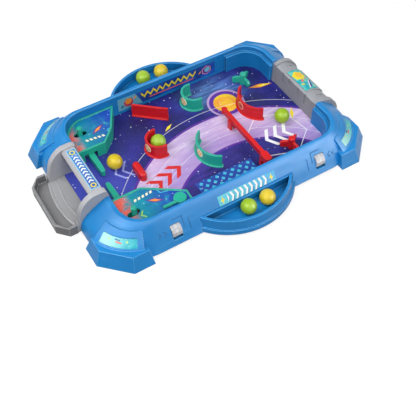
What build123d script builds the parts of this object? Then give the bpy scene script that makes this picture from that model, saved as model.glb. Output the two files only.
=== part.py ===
"""Table-top pinball game: a blue tray frame on four corner feet, a printed playfield with
plug-in bumpers, two thumb levers in corner pods, a goal with a catch tray, score wheels,
side ball trays and loose balls.  Millimetres; X along the length, goal end at -X, Z up."""

import os
from math import acos, atan2, cos, degrees, hypot, radians, sin

from build123d import *

os.makedirs("parts", exist_ok=True)

quarter_turn = 90.0
full_turn = 360.0

# Body of the frame: sizes at the bottom edge, and how far the rim stands in from it
body_half_length = 180.0
body_half_width = 120.0
body_corner_radius = 62.0
body_lift = 3.0
rim_front_lean = 35.0
rim_back_lean = 31.0
rim_side_lean = 22.5
rim_corner_lean = 29.5
rim_height = 38.0
rim_roof = 5.0
skin = 2.4

# Height of each section of the body, and how much of the swell each one has
level_shares = (0.0, 0.2, 0.486, 0.771, 0.943, 1.0)
side_swell_shares = (1.0, 0.83, 0.587, 0.302, 0.107, 0.0)
end_swell_shares = (1.0, 0.96, 0.80, 0.43, 0.13, 0.0)

# Play space inside the frame, set in from the rim
cavity_end_ledge = 5.0
cavity_side_ledge = 3.5
pad_depth = 4.0
pad_length = 44.0
pad_drop = 7.0
rim_chamfer = 1.0

# Floor plates
base_thickness = 2.0
base_inset = 4.2
board_thickness = 1.5

# Fits and cuts
fit_gap = 0.2
run_gap = 0.4
pin_gap = 0.05
overrun = 6.0
film = 0.4

# Screws, one size all over
screw_shank_radius = 1.5
screw_hole_radius = 1.7
screw_head_radius = 2.8
screw_head_height = 1.6
screw_length = 10.0
screw_sink = 1.8
boss_radius = 3.6

# Corner feet: how far they stand out from the body, and how far the top leans in
foot_end_flare = 6.0
foot_side_flare = 7.0
foot_chamfer = 31.0
foot_end_span = 58.5
foot_side_span = 57.0
foot_end_lean = 7.5
foot_side_lean = 8.0
foot_chamfer_lean = 4.0
foot_end_taper = 3.0
foot_side_taper = 2.0
foot_end_depth = 36.0
foot_side_depth = 32.0
foot_height = 18.0
foot_screw_end = 34.0
foot_screw_side = 27.0

# Raised bezel over each foot and the sticker window in it; the flare is how much further the
# bezel's form stands out at the bottom of the body than at the rim
bezel_end_inset = 69.0
bezel_side_inset = 65.5
bezel_rise = 1.6
bezel_flare = 10.8
bezel_drop = 6.0
bezel_sink = 1.0
bezel_reach = 130.0
bezel_start = 17.0
bezel_sweep = 51.0
fan_shares = (0.0, 0.5, 1.0)
window_start = 23.0
window_sweep = 38.5
window_drop = 4.8
window_height = 7.8
window_depth = 1.2

# Side ball trays
tray_reach = 29.5
tray_rim_radius = 77.0
tray_rim_width = 3.0
tray_ledge_reach = 2.5
tray_step_reach = 2.0
tray_foot_reach = 1.0
tray_step_height = 8.5
tray_rim_height = 20.5
tray_floor = 8.0
tray_wall = 2.2
tray_back_inset = 9.2
tray_back_drop = 0.9
tray_tab_half = 38.0
tray_tab_reach = 9.5
tray_tab_thickness = 2.0
tray_screw_x = 28.0
tray_boss_height = 9.0

# Goal gate at the front end; the arch runs and drops from the crown to the front edge
gate_half_width = 44.0
gate_cheek = 7.0
gate_step = 7.0
gate_reach = 2.5
gate_rise = 10.0
gate_rear_drop = 8.0
gate_rear_bevel = 1.5
gate_rear_run = 2.0
gate_crown_lead = 5.5
gate_crown_length = 9.5
gate_run_shares = (0.291, 0.564, 0.8, 0.945)
gate_drop_shares = (0.051, 0.198, 0.465, 0.814)
gate_screw_back = 20.5
header_lead = 5.0
header_rear_gap = 4.0
header_drop = 1.4
header_thickness = 5.6
header_bevel_run = 3.5
header_bevel_drop = 3.0
header_label_edge = 3.5
header_label_rear_edge = 0.6
header_label_gap = 1.0

# Chute and catch tray; the board runs on through the goal to the chute
board_goal_reach = 22.5
chute_reach = 7.0
chute_radius = 130.0
chute_rise = 0.2
chute_rear_drop = 0.2
chute_lip = 1.5
ridge_insets = (2.6, 12.5)
ridge_drops = (0.8, 0.2)
ridge_radius = 1.4
catch_reach = 15.5
catch_gap = 0.5
catch_side_reach = 1.0
catch_corner_run = 12.0
catch_corner_inset = 13.0
catch_height = 14.0
catch_wall = 2.4
catch_floor = 2.6
catch_tongue_gap = 3.0

# Saddle block on the far end; its back runs and drops from the inner edge to the foot
block_half_width = 46.0
block_band = 6.0
block_edge_lean = 1.6
block_edge_drop = 5.4
block_run_shares = (0.2083, 0.5, 0.75, 0.9306, 1.0)
block_drop_shares = (0.105, 0.165, 0.34, 0.62, 0.86)
block_foot_reach = 0.6
block_wall = 2.4
block_band_rise = 1.8
block_pad_rise = 1.0
block_pad_edge = 1.5
block_label_half = 20.0
block_label_lead = 4.5
block_label_length = 18.7
block_label_seat = 0.15
bridge_lead = 6.0
bridge_length = 21.0
bridge_drop = 15.0
bridge_wall = 2.6
block_screw_lead = 10.0
block_screw_side = 18.0
groove_shares = (0.515, 0.226, -0.196, -0.5)
groove_reaches = (13.5, 10.2, 10.6, 15.4)
groove_width = 2.0
groove_depth = 0.8
groove_foot_reach = 4.0
groove_foot_width = 1.2
crown_groove_share = 0.7
crown_groove_inset = 12.0
crown_groove_length = 10.0

# Control pods in the front corners; corners and bosses lie so far from the front wall of the
# play space and from the pod's inner wall
pod_depth = 52.0
pod_far_steps = ((37.0, 0.0), (54.0, 17.0), (71.0, 48.0), (72.5, 52.0))
pod_near_steps = ((38.5, 0.0), (42.5, 2.5), (83.0, 31.0), (82.0, 52.0))
pod_far_boss_steps = ((41.0, 19.0), (54.0, 42.0))
pod_near_boss_steps = ((42.0, 20.0), (68.0, 41.0))
pod_wall = 2.2
pod_drop = 13.0
pod_roof = 2.4
pod_lip = 1.0
pod_label_gap = 0.3

# Thumb paddle on the near pod: a round button with a straight bar
paddle_step = (69.5, 38.5)
paddle_radius = 7.6
paddle_height = 4.5
paddle_fillet = 0.9
paddle_bar_length = 22.5
paddle_bar_half = 1.7
paddle_bar_height = 2.8
paddle_bar_side = 1.8

# Thumb levers with the flipper arm
lever_far_lead = 17.0
lever_near_lead = 12.5
lever_pivot_depth = 13.0
lever_knob_reach = 16.0
lever_knob_side = (0.0, 3.5)
lever_arm_length = 46.5
lever_swing = 16.0
lever_hub_radius = 5.0
lever_root_half = 4.2
lever_tip_half = 2.8
lever_arm_lift = 2.5
lever_arm_height = 8.0
lever_bar_height = 4.5
lever_bar_half = 2.8
lever_lift = 0.3
lever_pin_radius = 2.0
knob_radius = 3.3
knob_rise = 10.5
knob_fillet = 1.0

# Score wheels on the near side
wheel_end_insets = (86.5, 76.5)
wheel_side_inset = 13.5
wheel_lift = 10.6
wheel_radius = 9.0
wheel_width = 12.0
wheel_faces = 10
wheel_axle_radius = 1.5
wheel_axle_length = 21.0
wheel_slot_drop = 6.6
wheel_slot_rise = 9.8
wheel_slot_depth = 7.5
stand_thickness = 2.5
stand_half = 2.4
stand_crown = 2.4

# Stickers on the frame
side_label_middle = 2.5
side_label_half = 38.5
side_label_drop = 7.2
side_label_height = 10.0
wall_label_middle = 12.0
wall_label_half = 72.0
wall_label_drop = 8.0
wall_label_height = 19.0

# Plug-in bumpers; places are shares of half the play space, from its middle
bumper_height = 18.5
bumper_wall = 2.6
bumper_flange_height = 1.4
bumper_flange_reach = 1.8
peg_radius = 2.0
peg_length = 3.0
peg_shares = (0.25, 0.75)
red_cup_shares = (-0.3303, 0.1702)
teal_cup_shares = (0.2183, 0.6723)
cup_radius = 15.2
cup_start = 82.0
cup_sweep = 197.0
teal_curve_shares = (0.1099, -0.2585)
red_curve_shares = (0.7204, 0.1681)
curve_radius = 28.1
curve_start = 121.5
curve_sweep = 120.0
dot_radius = 5.4
dot_height = 11.0
dot_angles = (188.0, 188.0, 183.0, 179.0)
plate_shares = (-0.2113, 0.7287)
plate_length = 47.0
plate_turn = -41.0
plate_peg_side = 16.0
rail_shares = (0.338, -0.8936)
rail_length = 100.0
rail_width = 5.0
rail_drop = 7.0
rail_head_radius = 3.6
rail_fork_back = 18.0
rail_fork_leg = 3.4
rail_fork_half = 4.4
rail_block_lead = 8.0
rail_block_length = 13.0
rail_block_width = 9.0
rail_slot_width = 3.2
rail_slot_height = 10.0
pill_shares = (-0.6127, -0.0957)
pill_length = 26.0
pill_width = 9.0
pill_height = 11.0
pill_fillet = 3.0

# Spinners
spinner_teal_shares = (0.7394, 0.6383)
spinner_red_shares = (0.6479, -0.7234)
spinner_blades = 3
spinner_turn = 32.0
spinner_hub_radius = 4.3
spinner_height = 17.0
spinner_reach = 14.5
spinner_blade_thickness = 3.2
spinner_blade_height = 9.0
spinner_blade_low = 3.0
spinner_pin_radius = 1.5
spinner_cap = 2.0
spinner_fillet = 1.2

# Balls: one by the far flipper, one in the red cup, one free, and two in each side tray
ball_radius = 9.5
ball_gap = 0.3
ball_by_lever = (18.2, 39.0)
ball_in_cup = (0.3, 1.4)
ball_free_shares = (0.7606, -0.266)
balls_in_near_tray = ((-6.8, 16.0), (19.1, 16.1))
balls_in_far_tray = ((-6.0, 13.5), (20.0, 15.0))

# Lengths and widths worked out from those above
rim_front = body_half_length - rim_front_lean
rim_back = body_half_length - rim_back_lean
rim_half_width = body_half_width - rim_side_lean
rim_corner_radius = body_corner_radius - rim_corner_lean
cavity_front = rim_front - cavity_end_ledge
cavity_back = rim_back - cavity_end_ledge
cavity_half_width = rim_half_width - cavity_side_ledge
cavity_corner_radius = rim_corner_radius - cavity_side_ledge
middle_x = (cavity_back - cavity_front) / 2
field_half_length = (cavity_front + cavity_back) / 2
foot_half_length = body_half_length + foot_end_flare
foot_half_width = body_half_width + foot_side_flare
foot_end_y = foot_half_width - foot_end_span
foot_side_x = foot_half_length - foot_side_span
foot_top_half_length = foot_half_length - foot_end_lean
foot_top_half_width = foot_half_width - foot_side_lean
foot_top_chamfer = foot_chamfer - foot_chamfer_lean
foot_top_end_y = foot_end_y + foot_end_taper
foot_top_side_x = foot_side_x + foot_side_taper
foot_inner_x = foot_half_length - foot_end_depth
foot_inner_y = foot_half_width - foot_side_depth
foot_screw_x = body_half_length - foot_screw_end
foot_screw_y = body_half_width - foot_screw_side
bezel_centre_x = body_half_length - bezel_end_inset
bezel_centre_y = body_half_width - bezel_side_inset
tray_inner_radius = tray_rim_radius - tray_rim_width
tray_ledge_radius = tray_rim_radius + tray_ledge_reach
tray_step_radius = tray_ledge_radius + tray_step_reach
tray_foot_radius = tray_step_radius + tray_foot_reach
tray_centre_y = body_half_width + tray_reach - tray_foot_radius
tray_back = body_half_width - tray_back_inset
tray_half_angle = degrees(acos((tray_back - tray_centre_y) / tray_foot_radius))
gate_step_x = cavity_front + gate_step
gate_front = body_half_length + gate_reach
gate_crown_start = cavity_front + gate_crown_lead
gate_crown_end = gate_crown_start + gate_crown_length
gate_screw_x = gate_front - gate_screw_back
header_front = gate_crown_end + header_lead
header_rear = cavity_front + header_rear_gap
header_label_front = header_front - header_bevel_run - header_label_gap
header_label_rear = header_rear + header_label_rear_edge
header_label_half = gate_half_width - gate_cheek - header_label_edge
board_front = cavity_front + board_goal_reach
chute_rear = board_front + fit_gap
chute_front = gate_front + chute_reach
catch_front = chute_front + catch_reach
catch_rear = gate_front + catch_gap
catch_half_width = gate_half_width + catch_side_reach
catch_corner_x = catch_front - catch_corner_run
catch_corner_y = catch_half_width - catch_corner_inset
catch_tongue_rear = gate_step_x + catch_tongue_gap
block_foot_x = body_half_length + block_foot_reach
block_pad_half = block_label_half + block_pad_edge
block_label_inner = cavity_back + block_label_lead
block_label_outer = block_label_inner + block_label_length
bridge_inner = cavity_back + bridge_lead
bridge_outer = bridge_inner + bridge_length
block_screw_x = bridge_inner + block_screw_lead
block_screw_y = block_half_width - block_screw_side
pod_inner_y = cavity_half_width - pod_depth
lever_far_x = lever_far_lead - cavity_front
lever_near_x = lever_near_lead - cavity_front
lever_pivot_y = pod_inner_y + lever_pivot_depth
lever_knob_y = lever_pivot_y + lever_knob_reach
lever_tip_y = lever_pivot_y - lever_arm_length
wheel_places = (wheel_end_insets[0] - body_half_length, body_half_length - wheel_end_insets[1])
wheel_centre_y = body_half_width - wheel_side_inset
wheel_slot_inner_y = wheel_centre_y - wheel_slot_depth
side_label_start = side_label_middle - side_label_half
side_label_end = side_label_middle + side_label_half
wall_label_start = wall_label_middle - wall_label_half
wall_label_end = wall_label_middle + wall_label_half
centre_shift = (catch_front - foot_half_length) / 2

# Heights worked out from those above
base_top = body_lift + base_thickness
floor = base_top + board_thickness
bumper_top = floor + bumper_height
bezel_high = rim_height - bezel_drop
bezel_low = foot_height - bezel_sink
bezel_grow = bezel_rise - bezel_flare * bezel_drop / (rim_height - body_lift)
window_high = bezel_high - window_drop
window_low = window_high - window_height
tray_back_height = tray_rim_height - tray_back_drop
gate_crown = rim_height + gate_rise
gate_rear_height = gate_crown - gate_rear_drop
gate_rear_rise = gate_crown - gate_rear_bevel
header_top = gate_crown - header_drop
header_bottom = header_top - header_thickness
chute_low = catch_floor + chute_rise
block_edge_height = rim_height - block_edge_drop
bridge_height = rim_height - bridge_drop
groove_lows = [block_edge_height - reach for reach in groove_reaches]
pod_top = rim_height - pod_drop
knob_top = pod_top + knob_rise
lever_arm_low = floor + lever_arm_lift
lever_top = lever_arm_low + lever_arm_height
lever_bar_low = lever_top - lever_bar_height
wheel_centre_z = base_top + wheel_lift
wheel_slot_low = wheel_centre_z - wheel_slot_drop
wheel_slot_high = wheel_centre_z + wheel_slot_rise
side_label_high = rim_height - side_label_drop
side_label_low = side_label_high - side_label_height
wall_label_high = rim_height - wall_label_drop
wall_label_low = wall_label_high - wall_label_height


def field_place(shares):
    """Spot on the playfield from its shares of half the length and half the width."""
    return (middle_x + shares[0] * field_half_length, shares[1] * cavity_half_width)


def pod_spots(steps):
    """Spots of a pod from their steps off the front wall and the pod's inner wall."""
    return [(length - cavity_front, pod_inner_y + depth) for length, depth in steps]


# Curves and places worked out from those above
gate_run = gate_front - gate_crown_end
gate_fall = gate_crown - base_top
gate_curve_x = [gate_crown_end + gate_run * share for share in gate_run_shares]
gate_curve_z = [gate_crown - gate_fall * share for share in gate_drop_shares]
ridge_radii = [chute_radius - inset for inset in ridge_insets]
ridge_tops = [floor - drop for drop in ridge_drops]
block_run = body_half_length - cavity_back
block_fall = rim_height - base_top
block_curve_x = [cavity_back + block_run * share for share in block_run_shares]
block_curve_z = [rim_height - block_fall * share for share in block_drop_shares]
groove_places = [block_half_width * share for share in groove_shares]
pod_far_corners = pod_spots(pod_far_steps)
pod_near_corners = pod_spots(pod_near_steps)
pod_far_bosses = pod_spots(pod_far_boss_steps)
pod_near_bosses = pod_spots(pod_near_boss_steps)
paddle_x, paddle_depth = pod_spots((paddle_step,))[0]
red_cup_place = field_place(red_cup_shares)
teal_cup_place = field_place(teal_cup_shares)
teal_curve_place = field_place(teal_curve_shares)
red_curve_place = field_place(red_curve_shares)
plate_place = field_place(plate_shares)
rail_x, rail_start = field_place(rail_shares)
rail_end = rail_start + rail_length
rail_fork_y = rail_end - rail_fork_back
rail_block_y = rail_start + rail_block_lead
pill_place = field_place(pill_shares)
spinner_places = (field_place(spinner_teal_shares), field_place(spinner_red_shares))
ball_on_field = (
    (lever_far_x + ball_by_lever[0], lever_pivot_y - ball_by_lever[1]),
    (red_cup_place[0] + ball_in_cup[0], red_cup_place[1] + ball_in_cup[1]),
    field_place(ball_free_shares),
)
tray_end_y = tray_centre_y + tray_inner_radius
ball_in_near_tray = [(x, depth - tray_end_y) for x, depth in balls_in_near_tray]
ball_in_far_tray = [(x, tray_end_y - depth) for x, depth in balls_in_far_tray]


def block(x_low, x_high, y_low, y_high, z_low, z_high):
    """Box between two corners."""
    middle = Pos((x_low + x_high) / 2, (y_low + y_high) / 2, (z_low + z_high) / 2)
    return middle * Box(x_high - x_low, y_high - y_low, z_high - z_low)


def post(place, radius, z_low, z_high):
    """Upright round bar."""
    bar = Cylinder(radius, z_high - z_low, align=(Align.CENTER, Align.CENTER, Align.MIN))
    return Pos(place[0], place[1], z_low) * bar


def prism(points, z_low, z_high):
    """Upright prism over a closed outline."""
    outline = make_face(Polyline(*points, close=True))
    return Pos(0, 0, z_low) * extrude(outline, z_high - z_low)


def body_form(grow, flare=0):
    """Solid outer form of the frame, moved outwards by grow at the rim and by flare more at the bottom."""
    sections = []
    for level, side, end in zip(level_shares, side_swell_shares, end_swell_shares):
        extra = grow + flare * (1 - level)
        front = rim_front + (body_half_length - rim_front) * end + extra
        back = rim_back + (body_half_length - rim_back) * end + extra
        half = rim_half_width + (body_half_width - rim_half_width) * side + extra
        mean_share = (side + end) / 2
        corner = rim_corner_radius + (body_corner_radius - rim_corner_radius) * mean_share + extra
        height = body_lift + (rim_height - body_lift) * level
        outline = RectangleRounded(front + back, 2 * half, corner)
        sections.append(Pos((back - front) / 2, 0, height) * outline)
    return loft(sections)


def room(grow, z_low, z_high):
    """Upright prism over the outline of the play space, moved outwards by grow."""
    length = cavity_front + cavity_back + 2 * grow
    outline = RectangleRounded(length, 2 * (cavity_half_width + grow), cavity_corner_radius + grow)
    return Pos(middle_x, 0, z_low) * extrude(outline, z_high - z_low)


def rim_flare():
    """Room that opens outwards over the rim's inner edge."""
    low_length = cavity_front + cavity_back
    low = RectangleRounded(low_length, 2 * cavity_half_width, cavity_corner_radius)
    high_length = low_length + 2 * rim_chamfer
    high_half = cavity_half_width + rim_chamfer
    high = RectangleRounded(high_length, 2 * high_half, cavity_corner_radius + rim_chamfer)
    low_at = Pos(middle_x, 0, rim_height - rim_chamfer) * low
    return loft([low_at, Pos(middle_x, 0, rim_height) * high], ruled=True)


def plate(inset, z_low, z_high):
    """Upright prism over the bottom outline of the frame, moved inwards by inset."""
    half_x = body_half_length - inset
    half_y = body_half_width - inset
    outline = RectangleRounded(2 * half_x, 2 * half_y, body_corner_radius - inset)
    return Pos(0, 0, z_low) * extrude(outline, z_high - z_low)


def half_moon(radius, side, back, z_low, z_high):
    """Part of an upright disc that lies beyond the back line of a side tray."""
    disc = post((0, side * tray_centre_y), radius, z_low, z_high)
    near = side * back
    far = side * (tray_centre_y + radius + overrun)
    reach = radius + overrun
    return disc & block(-reach, reach, min(near, far), max(near, far), z_low, z_high)


def tray_room(side):
    """Room that a side tray takes up in the frame, with the gap around it."""
    line = [
        (0, below),
        (tray_foot_radius + fit_gap, below),
        (tray_foot_radius + fit_gap, body_lift),
        (tray_step_radius + fit_gap, tray_step_height),
        (tray_ledge_radius + fit_gap, tray_step_height),
        (tray_rim_radius + fit_gap, tray_rim_height),
        (0, tray_rim_height),
    ]
    section = make_face(Polyline(*[(radius, 0, z) for radius, z in line], close=True))
    whole = Pos(0, side * tray_centre_y, 0) * revolve(section, Axis.Z)
    near = side * (tray_back - fit_gap)
    far = side * wide_out
    return whole & block(-far_out, far_out, min(near, far), max(near, far), below, above)


def screw(place, seat):
    """Pan-head screw driven upwards, head under the level of its seat."""
    head = post(place, screw_head_radius, seat - screw_head_height, seat)
    return head + post(place, screw_shank_radius, seat, seat + screw_length)


def screw_hole(place, seat):
    """Pilot hole the size of the shank."""
    return post(place, screw_shank_radius, seat, seat + screw_length)


def clear_hole(place, z_low, z_high):
    """Hole that a screw passes freely."""
    return post(place, screw_hole_radius, z_low, z_high)


def save(name, shape):
    """Write one piece, moved so that the whole game stands over the origin."""
    export_step(Pos(centre_shift, 0, 0) * shape, "parts/" + name + ".step")


# Forms that several pieces share
outer_form = body_form(0)
inner_form = body_form(-skin)
bezel_form = body_form(bezel_grow, bezel_flare)
window_form = body_form(bezel_grow - window_depth, bezel_flare)
window_film_form = body_form(bezel_grow - window_depth + film, bezel_flare)
label_form = body_form(film)
below = body_lift - overrun
above = gate_crown + overrun
far_out = catch_front + overrun
wide_out = tray_centre_y + tray_foot_radius + overrun
foot_screws = [(i * foot_screw_x, j * foot_screw_y) for i in (-1, 1) for j in (-1, 1)]
tray_screw_y = tray_back - tray_tab_reach / 2
tray_screws = [(i * tray_screw_x, j * tray_screw_y) for i in (-1, 1) for j in (-1, 1)]
gate_screw_y = gate_half_width - gate_cheek / 2
gate_screws = [(-gate_screw_x, j * gate_screw_y) for j in (-1, 1)]
block_screws = [(block_screw_x, j * block_screw_y) for j in (-1, 1)]
pod_screws = [(x, y) for x, y in pod_far_bosses] + [(x, -y) for x, y in pod_near_bosses]
lever_places = ((lever_far_x, lever_pivot_y), (lever_near_x, -lever_pivot_y))

# Frame: one hollow moulding, open below, with a gap at the goal and a low bridge at the far end
frame = outer_form - room(0, below, above)
pad_start = cavity_back - pad_length
corner_pad = room(0, base_top, rim_height - pad_drop) - room(-pad_depth, below, above)
corner_pad = corner_pad & block(pad_start, far_out, -wide_out, wide_out, below, above)
block_room = block_half_width + fit_gap
corner_pad -= block(pad_start, far_out, -block_room, block_room, below, above)
frame += corner_pad
frame -= rim_flare()
hollow = inner_form & block(-far_out, far_out, -wide_out, wide_out, below, rim_height - rim_roof)
hollow -= room(skin, below, above)
frame -= hollow
frame -= plate(base_inset - fit_gap, below, base_top)
gate_room = gate_half_width + fit_gap
frame -= block(-far_out, -cavity_front + overrun, -gate_room, gate_room, below, above)
frame -= block(cavity_back - overrun, far_out, -block_room, block_room, below, above)
bridge_half = block_room + skin
bridge = block(bridge_inner, bridge_outer, -bridge_half, bridge_half, base_top, bridge_height)
bridge_low = bridge_inner + bridge_wall
bridge_high = bridge_outer - bridge_wall
bridge -= block(bridge_low, bridge_high, -wide_out, wide_out, below, bridge_height - bridge_wall)
frame += bridge & outer_form
for side in (-1, 1):
    frame -= tray_room(side)
for place in foot_screws:
    frame += post(place, boss_radius, base_top, rim_height - rim_roof) & outer_form
    frame -= screw_hole(place, screw_sink)
for place in block_screws:
    frame -= clear_hole(place, bridge_height - bridge_wall - overrun, bridge_height + overrun)
slot_half = wheel_width / 2 + run_gap
for x in wheel_places:
    frame -= block(x - slot_half, x + slot_half, -wide_out, -wheel_slot_inner_y,
                   wheel_slot_low, wheel_slot_high)
save("frame", frame)

# Base plate under the frame
base = plate(base_inset, body_lift, base_top)
base -= block(-far_out, -gate_step_x, -gate_room, gate_room, below, above)
for side in (-1, 1):
    base -= half_moon(tray_foot_radius + fit_gap, side, tray_back - fit_gap, below, above)

# Printed playfield board
board = room(-fit_gap, base_top, floor)
board -= corner_pad
tongue_half = gate_half_width - gate_cheek - fit_gap
board += block(-board_front, -cavity_front + overrun, -tongue_half, tongue_half, base_top, floor)

# Holes through both plates, filled in as the pieces are placed
pegs = []
pins = []
for place in foot_screws + tray_screws + pod_screws:
    base -= clear_hole(place, below, above)
for place in pod_screws:
    board -= clear_hole(place, below, above)

# Corner feet with a sticker window
foot_names = {(-1, -1): "front_near", (-1, 1): "front_far", (1, -1): "back_near", (1, 1): "back_far"}
for (i, j), corner_name in foot_names.items():
    low_line = [
        (i * foot_half_length, j * foot_end_y),
        (i * foot_half_length, j * (foot_half_width - foot_chamfer)),
        (i * (foot_half_length - foot_chamfer), j * foot_half_width),
        (i * foot_side_x, j * foot_half_width),
        (i * foot_side_x, j * foot_inner_y),
        (i * foot_inner_x, j * foot_end_y),
    ]
    high_line = [
        (i * foot_top_half_length, j * foot_top_end_y),
        (i * foot_top_half_length, j * (foot_top_half_width - foot_top_chamfer)),
        (i * (foot_top_half_length - foot_top_chamfer), j * foot_top_half_width),
        (i * foot_top_side_x, j * foot_top_half_width),
        (i * foot_top_side_x, j * foot_inner_y),
        (i * foot_inner_x, j * foot_top_end_y),
    ]
    low_face = make_face(Polyline(*low_line, close=True))
    high_face = make_face(Polyline(*high_line, close=True))
    foot = loft([low_face, Pos(0, 0, foot_height) * high_face], ruled=True)
    hub = (i * bezel_centre_x, j * bezel_centre_y)
    wedges = []
    for start, sweep, z_low, z_high in (
        (bezel_start, bezel_sweep, bezel_low, bezel_high),
        (window_start, window_sweep, window_low, window_high),
        (window_start, window_sweep, window_low + fit_gap, window_high - fit_gap),
    ):
        fan = [hub]
        for share in fan_shares:
            angle = radians(start + sweep * share)
            fan.append((hub[0] + i * bezel_reach * cos(angle), hub[1] + j * bezel_reach * sin(angle)))
        wedges.append(prism(fan, z_low, z_high))
    foot += bezel_form & wedges[0]
    foot -= outer_form
    foot -= wedges[1] - window_form
    spot = (i * foot_screw_x, j * foot_screw_y)
    foot -= clear_hole(spot, -overrun, body_lift + overrun)
    foot -= post(spot, screw_head_radius + fit_gap, -overrun, screw_sink)
    save("foot_" + corner_name, foot)
    save("foot_sticker_" + corner_name, (window_film_form - window_form) & wedges[2])

# Side ball trays
for side, side_name in ((-1, "near"), (1, "far")):
    wall_line = [
        (tray_foot_radius, body_lift),
        (tray_step_radius, tray_step_height),
        (tray_ledge_radius, tray_step_height),
        (tray_rim_radius, tray_rim_height),
        (tray_inner_radius, tray_rim_height),
        (tray_inner_radius, tray_floor - tray_wall),
        (tray_step_radius - tray_wall, tray_floor - tray_wall),
        (tray_foot_radius - tray_wall, body_lift),
    ]
    wall_face = make_face(Polyline(*[(r, 0, z) for r, z in wall_line], close=True))
    wall = revolve(wall_face, Axis.Z, 2 * tray_half_angle)
    wall = Rot(0, 0, side * quarter_turn - tray_half_angle) * wall
    tray = Pos(0, side * tray_centre_y, 0) * wall
    near = side * tray_back
    far = side * wide_out
    tray = tray & block(-far_out, far_out, min(near, far), max(near, far), below, above)
    tray += half_moon(tray_ledge_radius, side, tray_back, tray_floor - tray_wall, tray_floor)
    back_wall = half_moon(tray_inner_radius + tray_wall / 2, side, tray_back, tray_floor, tray_back_height)
    tray += back_wall - half_moon(tray_foot_radius, side, tray_back + tray_wall, below, above)
    tab_end = side * (tray_back - tray_tab_reach)
    tab_start = side * (tray_back + tray_wall)
    tray += block(-tray_tab_half, tray_tab_half, min(tab_end, tab_start), max(tab_end, tab_start),
                  base_top, base_top + tray_tab_thickness)
    for x in (-tray_screw_x, tray_screw_x):
        spot = (x, side * tray_screw_y)
        tray += post(spot, boss_radius, base_top, base_top + tray_boss_height)
        tray -= screw_hole(spot, body_lift)
    tray -= outer_form - hollow - tray_room(side)
    save("ball_tray_" + side_name, tray)

# Goal gate: two arched cheeks and a header bar
curve_points = [(-x, 0, z) for x, z in zip(gate_curve_x, gate_curve_z)]
arch_points = [(-gate_crown_end, 0, gate_crown)] + curve_points + [(-gate_front, 0, base_top)]
arch = Spline(*arch_points, tangents=((-1, 0, 0), (0, 0, -1)))
arch_rest = Polyline(
    (-gate_front, 0, base_top),
    (-gate_front, 0, catch_floor),
    (-gate_step_x - fit_gap, 0, catch_floor),
    (-gate_step_x - fit_gap, 0, base_top),
    (-cavity_front, 0, base_top),
    (-cavity_front, 0, gate_rear_height),
    (-cavity_front - gate_rear_run, 0, gate_rear_rise),
    (-gate_crown_start, 0, gate_crown),
    (-gate_crown_end, 0, gate_crown),
)
cheek_face = make_face([arch, arch_rest])
header_line = Polyline(
    (-header_rear, 0, header_bottom),
    (-header_front, 0, header_bottom),
    (-header_front, 0, header_top - header_bevel_drop),
    (-header_front + header_bevel_run, 0, header_top),
    (-header_rear, 0, header_top),
    close=True,
)
cheek_inner = gate_half_width - gate_cheek
gate = extrude(make_face(header_line), cheek_inner, both=True)
cheeks = extrude(cheek_face, gate_half_width, both=True)
cheeks -= block(-far_out, far_out, -cheek_inner, cheek_inner, below, above)
gate += cheeks
for place in gate_screws:
    gate -= screw_hole(place, screw_sink)
save("goal_gate", gate)
save("goal_label", block(-header_label_front, -header_label_rear, -header_label_half,
                         header_label_half, header_top, header_top + film))

# Chute from the playfield down to the catch tray, with a ledge under the end of the board
chute_line = Polyline(
    (-chute_rear, 0, base_top),
    (-gate_step_x - fit_gap, 0, base_top),
    (-gate_step_x - fit_gap, 0, chute_low),
    (-chute_front, 0, chute_low),
    (-chute_front, 0, chute_low + chute_lip),
    (-chute_rear, 0, floor - chute_rear_drop),
    close=True,
)
chute_half = cheek_inner - fit_gap
chute_hub = (chute_radius - chute_front, 0)
chute_floor = extrude(make_face(chute_line), chute_half, both=True)
chute_room = post(chute_hub, chute_radius, below, above)
chute = chute_floor & chute_room
for radius, ridge_top in zip(ridge_radii, ridge_tops):
    ridge = Pos(chute_hub[0], 0, ridge_top - ridge_radius) * Torus(radius, ridge_radius)
    ridge -= block(-far_out, far_out, -wide_out, wide_out, below, chute_low)
    chute += ridge & block(-chute_front, -chute_rear, -chute_half, chute_half, below, above)
save("goal_chute", chute)


def catch_outline(inset):
    """Outline of the catch tray in plan, moved inwards by inset."""
    return [
        (-catch_rear, catch_half_width - inset),
        (-catch_corner_x - inset / 2, catch_half_width - inset),
        (-catch_front + inset, catch_corner_y + inset / 2 - inset),
        (-catch_front + inset, -catch_corner_y - inset / 2 + inset),
        (-catch_corner_x - inset / 2, -catch_half_width + inset),
        (-catch_rear, -catch_half_width + inset),
    ]


catch = prism(catch_outline(0), 0, catch_height)
catch -= prism(catch_outline(catch_wall), catch_floor, above)
catch += block(-catch_rear, -catch_tongue_rear, -gate_half_width, gate_half_width, 0, catch_floor)
for place in gate_screws:
    catch -= clear_hole(place, below, above)
    catch -= post(place, screw_head_radius + fit_gap, below, screw_sink)
save("catch_tray", catch)


def saddle(rise, half):
    """Length of the end block's section, its top and sides moved outwards by rise."""
    edge = (cavity_back + block_edge_lean - rise / 2, 0, block_edge_height + rise)
    curve = [(x + rise, 0, z + rise) for x, z in zip(block_curve_x, block_curve_z)]
    crown = Spline(edge, *curve)
    rest = Polyline(
        curve[-1],
        (block_foot_x + rise, 0, body_lift),
        (cavity_back - rise / 2, 0, body_lift),
        edge,
    )
    return extrude(make_face([crown, rest]), half, both=True)


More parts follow.
